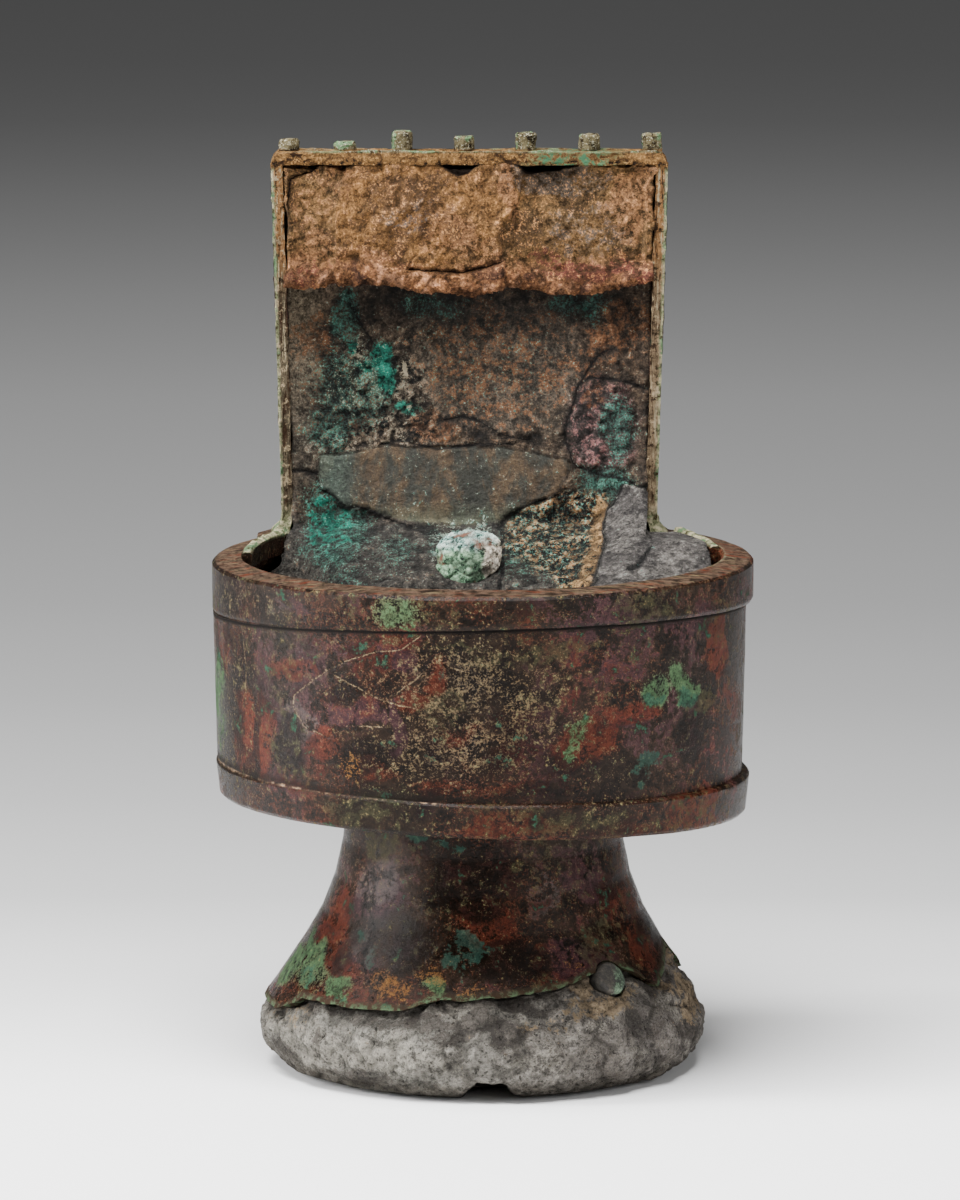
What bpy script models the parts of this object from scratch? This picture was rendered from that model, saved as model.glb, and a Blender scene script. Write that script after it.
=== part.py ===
"""An ancient cast bronze incense burner: a banded drum on a flaring foot, with a tall panel behind it.

The panel is seen from its open side. The clay core that the bronze was cast around is still inside the
panel, in the rear of the cup and in the foot, where the lower edge of the bronze has broken away.
Lengths are in metres, +Z is up, the viewer stands on the -Y side and the origin is on the ground under
the middle of the drum. An azimuth is measured from the front, positive towards +X.
"""
import math

import bmesh
import bpy
from mathutils import Matrix, Vector

# Fits between the bronze, the clay and the plugs
CLEARANCE = 0.0004
OVERLAP = 0.001

# Fineness of the turned shapes
SEGMENTS = 60
ARC_STEPS = 3
FLARE_STEPS = 4
STUB_SIDES = 12
PLUG_SIDES = 20

# Foot
FOOT_HEIGHT = 0.0795
NECK_RADIUS = 0.0409
NECK_FILLET = 0.0020
FLARE_RADIUS = 0.0760
FLARE_ANGLE = math.radians(33.5)
FOOT_WALL = 0.0035

# Broken lower edge of the foot: azimuth in degrees and height above the ground
BREAK_EDGE = (
    (-180, 0.0220), (-140, 0.0200), (-90, 0.0205), (-68, 0.0203), (-62, 0.0255), (-40, 0.0258),
    (-21, 0.0267), (-16, 0.0301), (1, 0.0305), (13, 0.0316), (27, 0.0329), (34, 0.0352), (43, 0.0368),
    (50, 0.0355), (55, 0.0320), (57, 0.0283), (61, 0.0286), (67, 0.0315), (78, 0.0349), (88, 0.0367),
    (98, 0.0280), (110, 0.0240), (140, 0.0230), (180, 0.0220),
)

# Clay below the break, which carries on the line of the cone down to its shoulder
CLAY_SHOULDER_HEIGHT = 0.0180
CLAY_WIDEST_HEIGHT = 0.0135
CLAY_UNDERCUT = 0.0125
CLAY_FLAT_INSET = 0.0265
CLAY_RECESS = 0.0015
NOTCH_AZIMUTH = 3.0
NOTCH_HALF_ANGLE = 4.0
NOTCH_HEIGHT = 0.0050

# Round plug in the foot, which goes through the bronze and is seated in the clay
PLUG_AZIMUTH = 42.3
PLUG_HEIGHT = 0.0337
PLUG_RADIUS = 0.0052
PLUG_SEAT = 0.0050

# Drum, with the level of each line and how far it rises to the right and to the front
DRUM_HEIGHT = 0.0729
DRUM_RADIUS = 0.0792
DRUM_LEAN = 0.0009
DRUM_TAPER = 0.0012
DRUM_WALL = 0.0030
CUP_FLOOR_THICKNESS = 0.0070
CUP_FILLET = 0.0060
UNDERSIDE_RISE = (-0.0027, 0.0020)
BAND_HEIGHT = 0.0115
BAND_RISE = (-0.0021, 0.0010)
BAND_PROUD = 0.0013
RIM_RISE = (0.0003, 0.0001)
RIM_WIDTH = 0.0095
RIM_ROUNDING = 0.0010
RIM_INNER_LIFT = 0.0010
LIP_DEPTH = 0.0060
LIP_SLOPE = 0.0040
COLLAR_PROUD = 0.0011
COLLAR_DEPTH = 0.0153
COLLAR_RISE = (0.00165, 0.0059)

# Panel, whose far corner stands just inside the rim's outer edge
PANEL_CENTRE = -0.0040
PANEL_HEIGHT = 0.1166
PANEL_DEPTH = 0.0155
PANEL_TOP_WIDTH = 0.1187
PANEL_FOOT_WIDTH = 0.1125
PANEL_CORNER_INSET = 0.0020
PANEL_WALL = 0.0035
PANEL_CORNER = 0.0035
PANEL_FOOT_FILLET = 0.0075
PANEL_SINK = 0.0040
LEDGE_THICKNESS = 0.0046
LEDGE_RECESS = 0.0004

# Raised strip that runs from the panel's foot along the rim's inner edge, on each side
STRIP_WIDTH = 0.0033
STRIP_INSET = 0.0025
STRIP_FRONT_LIFT = 0.0018
STRIP_PANEL_LIFT = 0.0035
STRIP_START_LEFT = 88.0
STRIP_START_RIGHT = 98.0
STRIP_STEPS = 4
STRIP_JOIN_BEHIND = 0.0035

# Round stubs on the panel's top: place along the panel as a share of its width, and height
STUB_RADIUS = 0.0032
STUB_EDGE = 0.0007
STUB_CHAMFER = 0.0006
STUBS = (
    (0.045, 0.0034), (0.187, 0.0025), (0.330, 0.0058), (0.486, 0.0043),
    (0.642, 0.0052), (0.802, 0.0049), (0.962, 0.0052),
)

# Upper slab of clay; its lower edge is a drop below its seat, at a place from -1 to 1 across the panel
SLAB_HEIGHT = 0.0327
SLAB_LIP_DEPTH = 0.0055
SLAB_ROUNDING = 0.0020
SLAB_PROUD = 0.0015
SLAB_STEP = 0.0016
SLAB_STEP_PLACE = 0.21
SLAB_EDGE = (
    (-1.00, 0.0073), (-0.87, 0.0083), (-0.76, 0.0063), (-0.53, 0.0053), (-0.34, 0.0073),
    (-0.08, 0.0083), (0.00, 0.0101), (0.15, 0.0075), (0.34, 0.0085), (0.53, 0.0101),
    (0.72, 0.0093), (0.87, 0.0071), (1.00, 0.0053),
)
SLAB_COLUMNS = 22

# Front of the fill: height from the rim and thickness in front of the panel's far face,
# at the left, in the middle and in the grey mass at the right
FILL_LEFT = (
    (0.088, 0.0085), (0.038, 0.0100), (0.008, 0.0140), (0.000, 0.0170), (-0.006, 0.0200),
    (-0.014, 0.0220), (-0.037, 0.0240), (-0.072, 0.0260),
)
FILL_MIDDLE = (
    (0.088, 0.0085), (0.048, 0.0100), (0.029, 0.0122), (0.005, 0.0135), (0.0015, 0.0260),
    (-0.003, 0.0380), (-0.008, 0.0470), (-0.016, 0.0520), (-0.037, 0.0560), (-0.072, 0.0580),
)
FILL_RIGHT = (
    (0.088, 0.0085), (0.038, 0.0100), (0.016, 0.0150), (0.008, 0.0240), (0.003, 0.0360),
    (-0.002, 0.0500), (-0.007, 0.0650), (-0.014, 0.0780), (-0.037, 0.0840), (-0.072, 0.0860),
)
FILL_LEFT_BLEND = 0.0220
FILL_MASS_TOP = (0.0400, 0.0160)
FILL_MASS_LOW = (0.0230, -0.0060)
FILL_MASS_BLEND = 0.0140
FILL_NEAREST = 0.0100
FILL_COLUMN = 0.0076
FILL_FINE_BELOW = 0.0160
FILL_FINE_ABOVE = 0.0140
FILL_STEPS = (4, 10, 6)

# Corroded tenon in the fill
TENON_ACROSS = -0.0042
TENON_DROP = 0.0041
TENON_SINK = 0.0030
TENON_RADIUS = 0.0083
TENON_TILT = math.radians(35.0)
TENON_PROUD = 0.0080
TENON_DEPTH = 0.0090

# Levels, radii and depths that follow from the sizes above
RIM_HEIGHT = FOOT_HEIGHT + DRUM_HEIGHT
RIM_RADIUS = DRUM_RADIUS + COLLAR_PROUD
RIM_INNER_RADIUS = RIM_RADIUS - RIM_WIDTH
DRUM_LOWER_RADIUS = DRUM_RADIUS - DRUM_TAPER
CUP_RADIUS = DRUM_LOWER_RADIUS - DRUM_WALL
CUP_FLOOR = FOOT_HEIGHT + CUP_FLOOR_THICKNESS
PANEL_TOP = RIM_HEIGHT + PANEL_HEIGHT
PANEL_REACH = PANEL_FOOT_WIDTH / 2 + abs(PANEL_CENTRE)
PANEL_FAR = math.sqrt((RIM_RADIUS - PANEL_CORNER_INSET) ** 2 - PANEL_REACH ** 2)
PANEL_NEAR = PANEL_FAR - PANEL_DEPTH
PLUG_DEPTH = FOOT_WALL + PLUG_SEAT
SLAB_SEAT = PANEL_TOP - SLAB_HEIGHT
STRIP_JOIN_DEPTH = PANEL_NEAR + STRIP_JOIN_BEHIND

# Colour, roughness and metallic value of each material
FINISHES = {
    "patinated_bronze": ((0.075, 0.045, 0.040), 0.42, 0.55),
    "tan_clay": ((0.330, 0.190, 0.100), 0.95, 0.0),
    "dark_clay": ((0.085, 0.072, 0.062), 0.92, 0.0),
    "grey_clay": ((0.230, 0.215, 0.200), 0.95, 0.0),
    "green_corrosion": ((0.400, 0.520, 0.430), 0.85, 0.0),
    "brown_metal": ((0.140, 0.115, 0.100), 0.60, 0.3),
}


def interpolate(points, place):
    """Value of a polyline of (place, value) points."""
    ordered = sorted(points)
    if place <= ordered[0][0]:
        return ordered[0][1]
    for (start, low), (end, high) in zip(ordered, ordered[1:]):
        if place <= end:
            return low + (high - low) * (place - start) / (end - start)
    return ordered[-1][1]


def smooth_step(value):
    """0 below zero, 1 above one, and smooth between them."""
    limited = min(max(value, 0.0), 1.0)
    return limited * limited * (3.0 - 2.0 * limited)


def polar(radius, azimuth, height):
    """Point at an azimuth in degrees from the front."""
    angle = math.radians(azimuth)
    return Vector((radius * math.sin(angle), -radius * math.cos(angle), height))


def tilted(level, rise, radius, azimuth):
    """Height of a slightly tilted plane, given by its rise to the right and to the front."""
    angle = math.radians(azimuth)
    return level + (rise[0] * math.sin(angle) + rise[1] * math.cos(angle)) * radius / RIM_RADIUS


def foot_radius(height):
    """Outer radius of the bronze foot: a concave arc below the drum, then a straight cone."""
    drop = FOOT_HEIGHT - height
    arc_drop = FLARE_RADIUS * math.sin(FLARE_ANGLE)
    if drop <= 0.0:
        return NECK_RADIUS
    if drop < arc_drop:
        return NECK_RADIUS + FLARE_RADIUS - math.sqrt(FLARE_RADIUS ** 2 - drop ** 2)
    arc_growth = FLARE_RADIUS * (1.0 - math.cos(FLARE_ANGLE))
    return NECK_RADIUS + arc_growth + (drop - arc_drop) * math.tan(FLARE_ANGLE)


def foot_heights():
    """Heights of the rings along the flare, from below the neck to the top of the cone."""
    steps = [FLARE_ANGLE * (step + 1) / FLARE_STEPS for step in range(FLARE_STEPS)]
    return [FOOT_HEIGHT - FLARE_RADIUS * math.sin(angle) for angle in steps]


def break_height(azimuth):
    """Height of the bronze's broken edge, kept on the straight cone of the foot."""
    return min(interpolate(BREAK_EDGE, azimuth), foot_heights()[-1] - CLEARANCE)


def rim_top(azimuth):
    return tilted(RIM_HEIGHT, RIM_RISE, RIM_RADIUS, azimuth)


def above_rim():
    """Lowest height that is clear of the rim all round."""
    return RIM_HEIGHT + RIM_INNER_LIFT + max(RIM_RISE) + CLEARANCE


def drum_wall(radius, azimuth):
    """Radius of the drum's wall, whose middle leans a little to the left of the rim's."""
    return radius - DRUM_LEAN * math.sin(math.radians(azimuth))


def neck_low(azimuth):
    """Height where the foot leaves the drum's underside, below their fillet."""
    return underside(NECK_RADIUS, azimuth) - NECK_FILLET


def collar_low(azimuth):
    """Lower edge of the collar, which is deepest at the back and climbs towards the front."""
    angle = math.radians(azimuth)
    climb = COLLAR_RISE[1] * ((1.0 + math.cos(angle)) / 2) ** 2
    return RIM_HEIGHT - COLLAR_DEPTH + COLLAR_RISE[0] * math.sin(angle) + climb


def band_top(azimuth):
    return tilted(FOOT_HEIGHT + BAND_HEIGHT, BAND_RISE, RIM_RADIUS, azimuth)


def underside(radius, azimuth):
    return tilted(FOOT_HEIGHT, UNDERSIDE_RISE, radius, azimuth)


def make_material(name):
    colour, roughness, metallic = FINISHES[name]
    material = bpy.data.materials.new(name)
    material.use_nodes = True
    shader = material.node_tree.nodes["Principled BSDF"]
    shader.inputs["Base Color"].default_value = (*colour, 1.0)
    shader.inputs["Roughness"].default_value = roughness
    shader.inputs["Metallic"].default_value = metallic
    return material


def make_object(name, mesh_builder, parent=None):
    """New object of a bmesh, with its faces turned outwards."""
    bmesh.ops.recalc_face_normals(mesh_builder, faces=mesh_builder.faces)
    mesh = bpy.data.meshes.new(name)
    mesh_builder.to_mesh(mesh)
    mesh_builder.free()
    made = bpy.data.objects.new(name, mesh)
    made.parent = parent
    bpy.context.scene.collection.objects.link(made)
    return made


def finish_piece(piece, finish, sharp_angle=35.0):
    """Material and smooth shading of a named piece."""
    piece.data.materials.append(make_material(finish))
    piece.data.shade_smooth()
    piece.data.set_sharp_from_angle(angle=math.radians(sharp_angle))


def make_guide(name, mesh_builder):
    """Shape that is only added to, cut out of or kept from another one."""
    guide = make_object(name, mesh_builder)
    guide.hide_render = True
    guide.display_type = "WIRE"
    return guide


def combine(piece, guide, operation):
    modifier = piece.modifiers.new(guide.name, "BOOLEAN")
    modifier.operation = operation
    modifier.solver = "EXACT"
    modifier.object = guide


def turned_mesh(rings, first_pole, last_pole):
    """Closed shape turned about Z: each ring gives radius and height at an azimuth in degrees."""
    mesh_builder = bmesh.new()
    azimuths = [360.0 * index / SEGMENTS - 180.0 for index in range(SEGMENTS)]
    loops = []
    for ring in rings:
        loops.append([mesh_builder.verts.new(polar(ring(azimuth)[0], azimuth, ring(azimuth)[1]))
                      for azimuth in azimuths])
    for inner, outer in zip(loops, loops[1:]):
        for index in range(SEGMENTS):
            after = (index + 1) % SEGMENTS
            mesh_builder.faces.new((inner[index], outer[index], outer[after], inner[after]))
    for loop, height in ((loops[0], first_pole), (loops[-1], last_pole)):
        pole = mesh_builder.verts.new((0.0, 0.0, height))
        for index in range(SEGMENTS):
            mesh_builder.faces.new((pole, loop[index], loop[(index + 1) % SEGMENTS]))
    return mesh_builder


def prism_mesh(outline, start, end, place):
    """Closed shape between two copies of an outline; place turns a point and a depth into 3-D."""
    mesh_builder = bmesh.new()
    near = [mesh_builder.verts.new(place(point, start)) for point in outline]
    far = [mesh_builder.verts.new(place(point, end)) for point in outline]
    mesh_builder.faces.new(near)
    mesh_builder.faces.new(far)
    for index in range(len(outline)):
        after = (index + 1) % len(outline)
        mesh_builder.faces.new((near[index], near[after], far[after], far[index]))
    return mesh_builder


def across(point, depth):
    """Outline in X and Z, drawn out along Y."""
    return Vector((point[0], depth, point[1]))


def upward(point, height):
    """Outline in X and Y, drawn out along Z."""
    return Vector((point[0], point[1], height))


def box_mesh(low, high):
    outline = ((low[0], low[1]), (high[0], low[1]), (high[0], high[1]), (low[0], high[1]))
    return prism_mesh(outline, low[2], high[2], upward)


def lofted_mesh(sections):
    """Closed shape through rows of points that have the same number of points."""
    mesh_builder = bmesh.new()
    rows = [[mesh_builder.verts.new(point) for point in section] for section in sections]
    for here, there in zip(rows, rows[1:]):
        for index in range(len(here)):
            after = (index + 1) % len(here)
            mesh_builder.faces.new((here[index], here[after], there[after], there[index]))
    mesh_builder.faces.new(rows[0])
    mesh_builder.faces.new(rows[-1])
    return mesh_builder


def plug_mesh(place, axis, radii, lengths, sides):
    """Round plug along an axis: a radius at each length from its place."""
    turn = axis.to_track_quat("Z", "Y").to_matrix().to_4x4()
    frame = Matrix.Translation(place) @ turn
    sections = []
    for radius, length in zip(radii, lengths):
        angles = [2.0 * math.pi * side / sides for side in range(sides)]
        sections.append([frame @ Vector((radius * math.cos(angle), radius * math.sin(angle), length))
                         for angle in angles])
    return lofted_mesh(sections)


def shell_rings():
    """Rings of the drum and foot, from the cup's floor over the rim and down to the foot's hollow."""
    corner = math.sin(math.radians(45.0)) * CUP_FILLET
    band_radius = DRUM_LOWER_RADIUS + BAND_PROUD
    rings = [
        lambda azimuth: (CUP_RADIUS - CUP_FILLET, CUP_FLOOR),
        lambda azimuth: (CUP_RADIUS - CUP_FILLET + corner, CUP_FLOOR + CUP_FILLET - corner),
        lambda azimuth: (CUP_RADIUS, CUP_FLOOR + CUP_FILLET),
        lambda azimuth: (CUP_RADIUS, rim_top(azimuth) - LIP_DEPTH - LIP_SLOPE),
        lambda azimuth: (RIM_INNER_RADIUS, rim_top(azimuth) - LIP_DEPTH),
        lambda azimuth: (RIM_INNER_RADIUS, rim_top(azimuth)),
        lambda azimuth: (RIM_INNER_RADIUS + RIM_ROUNDING, rim_top(azimuth) + RIM_INNER_LIFT),
        lambda azimuth: (RIM_RADIUS - RIM_ROUNDING, rim_top(azimuth)),
        lambda azimuth: (RIM_RADIUS, rim_top(azimuth) - RIM_ROUNDING),
        lambda azimuth: (RIM_RADIUS, collar_low(azimuth) + RIM_ROUNDING),
        lambda azimuth: (RIM_RADIUS - RIM_ROUNDING / 2, collar_low(azimuth)),
        lambda azimuth: (drum_wall(DRUM_RADIUS, azimuth), collar_low(azimuth)),
        lambda azimuth: (drum_wall(DRUM_LOWER_RADIUS, azimuth), band_top(azimuth)),
        lambda azimuth: (band_radius - RIM_ROUNDING / 2, band_top(azimuth) - RIM_ROUNDING / 4),
        lambda azimuth: (band_radius, band_top(azimuth) - RIM_ROUNDING),
        lambda azimuth: (band_radius - RIM_ROUNDING, underside(band_radius, azimuth) + RIM_ROUNDING),
        lambda azimuth: (band_radius - 2 * RIM_ROUNDING, underside(band_radius, azimuth)),
        lambda azimuth: (NECK_RADIUS + NECK_FILLET, underside(NECK_RADIUS, azimuth)),
        lambda azimuth: (foot_radius(neck_low(azimuth)), neck_low(azimuth)),
    ]
    for height in foot_heights():
        rings.append(lambda azimuth, height=height: (foot_radius(height), height))
    rings.append(lambda azimuth: (foot_radius(break_height(azimuth)), break_height(azimuth)))
    rings.append(lambda azimuth: (foot_radius(break_height(azimuth)) - FOOT_WALL, break_height(azimuth)))
    for height in reversed(foot_heights()):
        rings.append(lambda azimuth, height=height: (foot_radius(height) - FOOT_WALL, height))
    rings.append(lambda azimuth: (NECK_RADIUS - FOOT_WALL, FOOT_HEIGHT))
    return rings


def panel_outline(inset, bottom, flared):
    """Outline of the panel in X and Z, set in by a wall, with its foot flared out to the rim or straight."""
    def half_width(height):
        share = (height - RIM_HEIGHT) / (PANEL_TOP - RIM_HEIGHT)
        return (PANEL_FOOT_WIDTH + (PANEL_TOP_WIDTH - PANEL_FOOT_WIDTH) * share) / 2 - inset

    top = PANEL_TOP - inset
    corner = max(PANEL_CORNER - inset, PANEL_WALL / 7)
    right = []
    if flared:
        radius = PANEL_FOOT_FILLET + inset
        level = RIM_HEIGHT + PANEL_FOOT_FILLET
        right.append((half_width(RIM_HEIGHT) + PANEL_FOOT_FILLET + inset, bottom))
        for step in range(ARC_STEPS + 1):
            angle = math.radians(90.0) * step / ARC_STEPS
            out = radius * (1.0 - math.sin(angle))
            right.append((half_width(level) + out, level - radius * math.cos(angle)))
    else:
        right.append((half_width(bottom), bottom))
    for step in range(ARC_STEPS + 1):
        angle = math.radians(90.0) * step / ARC_STEPS
        reach = half_width(top) - corner + corner * math.cos(angle)
        right.append((reach, top - corner + corner * math.sin(angle)))
    left = [(-out, height) for out, height in reversed(right)]
    return [(PANEL_CENTRE + out, height) for out, height in right + left]


def ledge_outline(front, radius):
    """Part of a circle behind a straight front edge, in X and Y."""
    half = math.sqrt(radius ** 2 - front ** 2)
    spread = math.atan2(half, front)
    steps = SEGMENTS // 4
    outline = []
    for step in range(steps + 1):
        angle = spread * (2.0 * step / steps - 1.0)
        outline.append((-radius * math.sin(angle), radius * math.cos(angle)))
    return outline


def strip_path(start, side, depth):
    """Middle of the strip: an arc inside the rim's edge, up to a depth."""
    radius = RIM_INNER_RADIUS - STRIP_INSET + STRIP_WIDTH / 2
    end = math.degrees(math.acos(-depth / radius))
    turn = (end - start) / STRIP_STEPS
    return [polar(radius, side * (start + turn * step), 0.0) for step in range(STRIP_STEPS + 1)]


def outside_strip(start, side):
    """Outline in X and Y of what lies outside the strip's middle and beside the panel's flange."""
    path = [(point.x, point.y) for point in strip_path(start, side, PANEL_NEAR)]
    flange = PANEL_CENTRE + side * (PANEL_FOOT_WIDTH - PANEL_WALL) / 2
    return path + [(flange, PANEL_NEAR), (flange, RIM_RADIUS), (side * RIM_RADIUS, RIM_RADIUS),
                   (side * RIM_RADIUS, path[0][1])]


def strip_mesh(start, side, gap):
    """Raised strip along the rim's inner edge, which climbs towards the panel and ends in its foot."""
    path = strip_path(start, side, STRIP_JOIN_DEPTH)
    path[0] += (path[0] - path[1]).normalized() * gap
    path[-1] += (path[-1] - path[-2]).normalized() * gap
    half = STRIP_WIDTH / 2 + gap
    rounding = STRIP_WIDTH / 4
    low = RIM_HEIGHT - PANEL_SINK - gap
    sections = []
    for index, point in enumerate(path):
        before = path[max(index - 1, 0)]
        after = path[min(index + 1, len(path) - 1)]
        along = (after - before).normalized()
        outward = Vector((along.y, -along.x, 0.0)) * side
        share = index / (len(path) - 1)
        top = RIM_HEIGHT + STRIP_FRONT_LIFT + (STRIP_PANEL_LIFT - STRIP_FRONT_LIFT) * share + gap
        profile = ((-half, low), (-half, top - rounding), (rounding - half, top),
                   (half - rounding, top), (half, top - rounding), (half, low))
        sections.append([point + outward * out + Vector((0.0, 0.0, height)) for out, height in profile])
    return lofted_mesh(sections)


def stub_mesh(share, height):
    left = PANEL_CENTRE - PANEL_TOP_WIDTH / 2
    place = Vector((left + share * PANEL_TOP_WIDTH, PANEL_FAR - STUB_EDGE - STUB_RADIUS, PANEL_TOP))
    radii = (STUB_RADIUS, STUB_RADIUS, STUB_RADIUS - STUB_CHAMFER)
    lengths = (-PANEL_WALL / 2, height - STUB_CHAMFER, height)
    return plug_mesh(place, Vector((0.0, 0.0, 1.0)), radii, lengths, STUB_SIDES)


def foot_plug_axis():
    """Direction square to the cone of the foot at the plug."""
    outward = polar(1.0, PLUG_AZIMUTH, 0.0)
    return outward * math.cos(FLARE_ANGLE) + Vector((0.0, 0.0, math.sin(FLARE_ANGLE)))


def foot_plug_place():
    return polar(foot_radius(PLUG_HEIGHT), PLUG_AZIMUTH, PLUG_HEIGHT)


def foot_plug_socket():
    radius = PLUG_RADIUS + CLEARANCE
    lengths = (-PLUG_DEPTH - CLEARANCE, PLUG_RADIUS)
    return plug_mesh(foot_plug_place(), foot_plug_axis(), (radius, radius), lengths, PLUG_SIDES)


def tenon_axis():
    return Vector((0.0, -math.cos(TENON_TILT), math.sin(TENON_TILT)))


def fill_front(across_place, height):
    """Depth of the fill's front surface."""
    level = height - RIM_HEIGHT
    left = interpolate(FILL_LEFT, level)
    middle = interpolate(FILL_MIDDLE, level)
    right = interpolate(FILL_RIGHT, level)
    share = (level - FILL_MASS_LOW[1]) / (FILL_MASS_TOP[1] - FILL_MASS_LOW[1])
    mass_edge = FILL_MASS_LOW[0] + (FILL_MASS_TOP[0] - FILL_MASS_LOW[0]) * min(max(share, 0.0), 1.0)
    from_left = across_place - PANEL_CENTRE + PANEL_FOOT_WIDTH / 2
    left_weight = 1.0 - smooth_step(from_left / FILL_LEFT_BLEND)
    right_weight = smooth_step((across_place - mass_edge) / FILL_MASS_BLEND)
    thickness = middle + (left - middle) * left_weight + (right - middle) * right_weight
    return PANEL_FAR - thickness


def fill_heights():
    """Rows of the fill's front, close together near the rim, up to just under the slab."""
    levels = (CUP_FLOOR - OVERLAP, RIM_HEIGHT - FILL_FINE_BELOW, RIM_HEIGHT + FILL_FINE_ABOVE,
              SLAB_SEAT - CLEARANCE)
    heights = [levels[0]]
    for (low, high), steps in zip(zip(levels, levels[1:]), FILL_STEPS):
        heights += [low + (high - low) * (step + 1) / steps for step in range(steps)]
    return heights


def tenon_place():
    height = RIM_HEIGHT - TENON_DROP
    return Vector((TENON_ACROSS, fill_front(TENON_ACROSS, height) + TENON_SINK, height))


def panel_shell(name, gap):
    """Guide of the panel's plate, flanges and top, grown by a gap on every side."""
    bottom = RIM_HEIGHT - PANEL_SINK - gap
    outside = prism_mesh(panel_outline(-gap, bottom, True), PANEL_NEAR - gap, PANEL_FAR + gap, across)
    inside = prism_mesh(panel_outline(PANEL_WALL + gap, bottom - OVERLAP, True),
                        PANEL_NEAR - gap - OVERLAP, PANEL_FAR - PANEL_WALL - gap, across)
    shell = make_guide(name, outside)
    combine(shell, make_guide(name + "_hollow", inside), "DIFFERENCE")
    return shell


def strip_guides(name, gap):
    return [make_guide(f"{name}_left", strip_mesh(STRIP_START_LEFT, -1, gap)),
            make_guide(f"{name}_right", strip_mesh(STRIP_START_RIGHT, 1, gap))]


def make_bronze_body(parent):
    body = make_object("bronze_body", turned_mesh(shell_rings(), CUP_FLOOR, FOOT_HEIGHT), parent)
    finish_piece(body, "patinated_bronze")
    combine(body, panel_shell("panel", 0.0), "UNION")

    ledge_top = RIM_HEIGHT - LEDGE_RECESS
    ledge_radius = (RIM_INNER_RADIUS + RIM_RADIUS) / 2
    ledge = make_guide("ledge", prism_mesh(ledge_outline(PANEL_FAR - PANEL_WALL / 2, ledge_radius),
                                           ledge_top - LEDGE_THICKNESS, ledge_top, upward))
    combine(body, ledge, "UNION")
    for strip in strip_guides("strip", 0.0):
        combine(body, strip, "UNION")
    for index, (share, height) in enumerate(STUBS):
        combine(body, make_guide(f"stub_{index + 1}", stub_mesh(share, height)), "UNION")
    combine(body, make_guide("plug_socket_in_bronze", foot_plug_socket()), "DIFFERENCE")
    return body


def slab_section(lean):
    """Depth and height of the upper slab's outline at a place from -1 to 1 across the panel."""
    step = smooth_step((lean - SLAB_STEP_PLACE) / (2 * SLAB_STEP / SLAB_HEIGHT))
    face = PANEL_NEAR - SLAB_PROUD + SLAB_STEP * step
    edge = SLAB_SEAT - interpolate(SLAB_EDGE, lean)
    top = PANEL_TOP - PANEL_WALL - CLEARANCE
    back = PANEL_FAR - PANEL_WALL - CLEARANCE
    return [
        (back, SLAB_SEAT), (face + SLAB_LIP_DEPTH, SLAB_SEAT),
        (face + SLAB_ROUNDING, edge + SLAB_ROUNDING / 2), (face + SLAB_ROUNDING / 4, edge),
        (face - SLAB_ROUNDING / 4, edge + SLAB_ROUNDING), (face, SLAB_SEAT),
        (face, (SLAB_SEAT + top) / 2), (face + SLAB_ROUNDING / 2, top - SLAB_ROUNDING),
        (face + SLAB_ROUNDING, top), (back, top),
    ]


def make_upper_core_slab(parent):
    """Slab that fills the top of the panel; its sides follow the taper of the flanges."""
    def half_width(height):
        share = (height - RIM_HEIGHT) / (PANEL_TOP - RIM_HEIGHT)
        width = PANEL_FOOT_WIDTH + (PANEL_TOP_WIDTH - PANEL_FOOT_WIDTH) * share
        return width / 2 - PANEL_WALL - CLEARANCE

    sections = []
    for column in range(SLAB_COLUMNS + 1):
        lean = 2.0 * column / SLAB_COLUMNS - 1.0
        sections.append([Vector((PANEL_CENTRE + lean * half_width(height), depth, height))
                         for depth, height in slab_section(lean)])
    slab = make_object("upper_core_slab", lofted_mesh(sections), parent)
    finish_piece(slab, "tan_clay")
    return slab


def fill_block():
    """Block whose front is the fill's front surface, larger than the hollow that it fills."""
    columns = int(2 * RIM_RADIUS / FILL_COLUMN)
    places = [RIM_RADIUS * (2.0 * column / columns - 1.0) for column in range(columns + 1)]
    heights = fill_heights()
    mesh_builder = bmesh.new()
    rows = [[mesh_builder.verts.new((place, fill_front(place, height), height)) for place in places]
            for height in heights]
    for lower, upper in zip(rows, rows[1:]):
        for column in range(columns):
            mesh_builder.faces.new((lower[column], lower[column + 1], upper[column + 1], upper[column]))
    back = {(side, level): mesh_builder.verts.new((side * RIM_RADIUS, RIM_RADIUS, level))
            for side in (-1, 1) for level in (heights[0], heights[-1])}
    low, high = heights[0], heights[-1]
    mesh_builder.faces.new(rows[0] + [back[1, low], back[-1, low]])
    mesh_builder.faces.new(rows[-1] + [back[1, high], back[-1, high]])
    mesh_builder.faces.new([row[0] for row in rows] + [back[-1, high], back[-1, low]])
    mesh_builder.faces.new([row[-1] for row in rows] + [back[1, high], back[1, low]])
    mesh_builder.faces.new((back[-1, low], back[1, low], back[1, high], back[-1, high]))
    return mesh_builder


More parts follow.
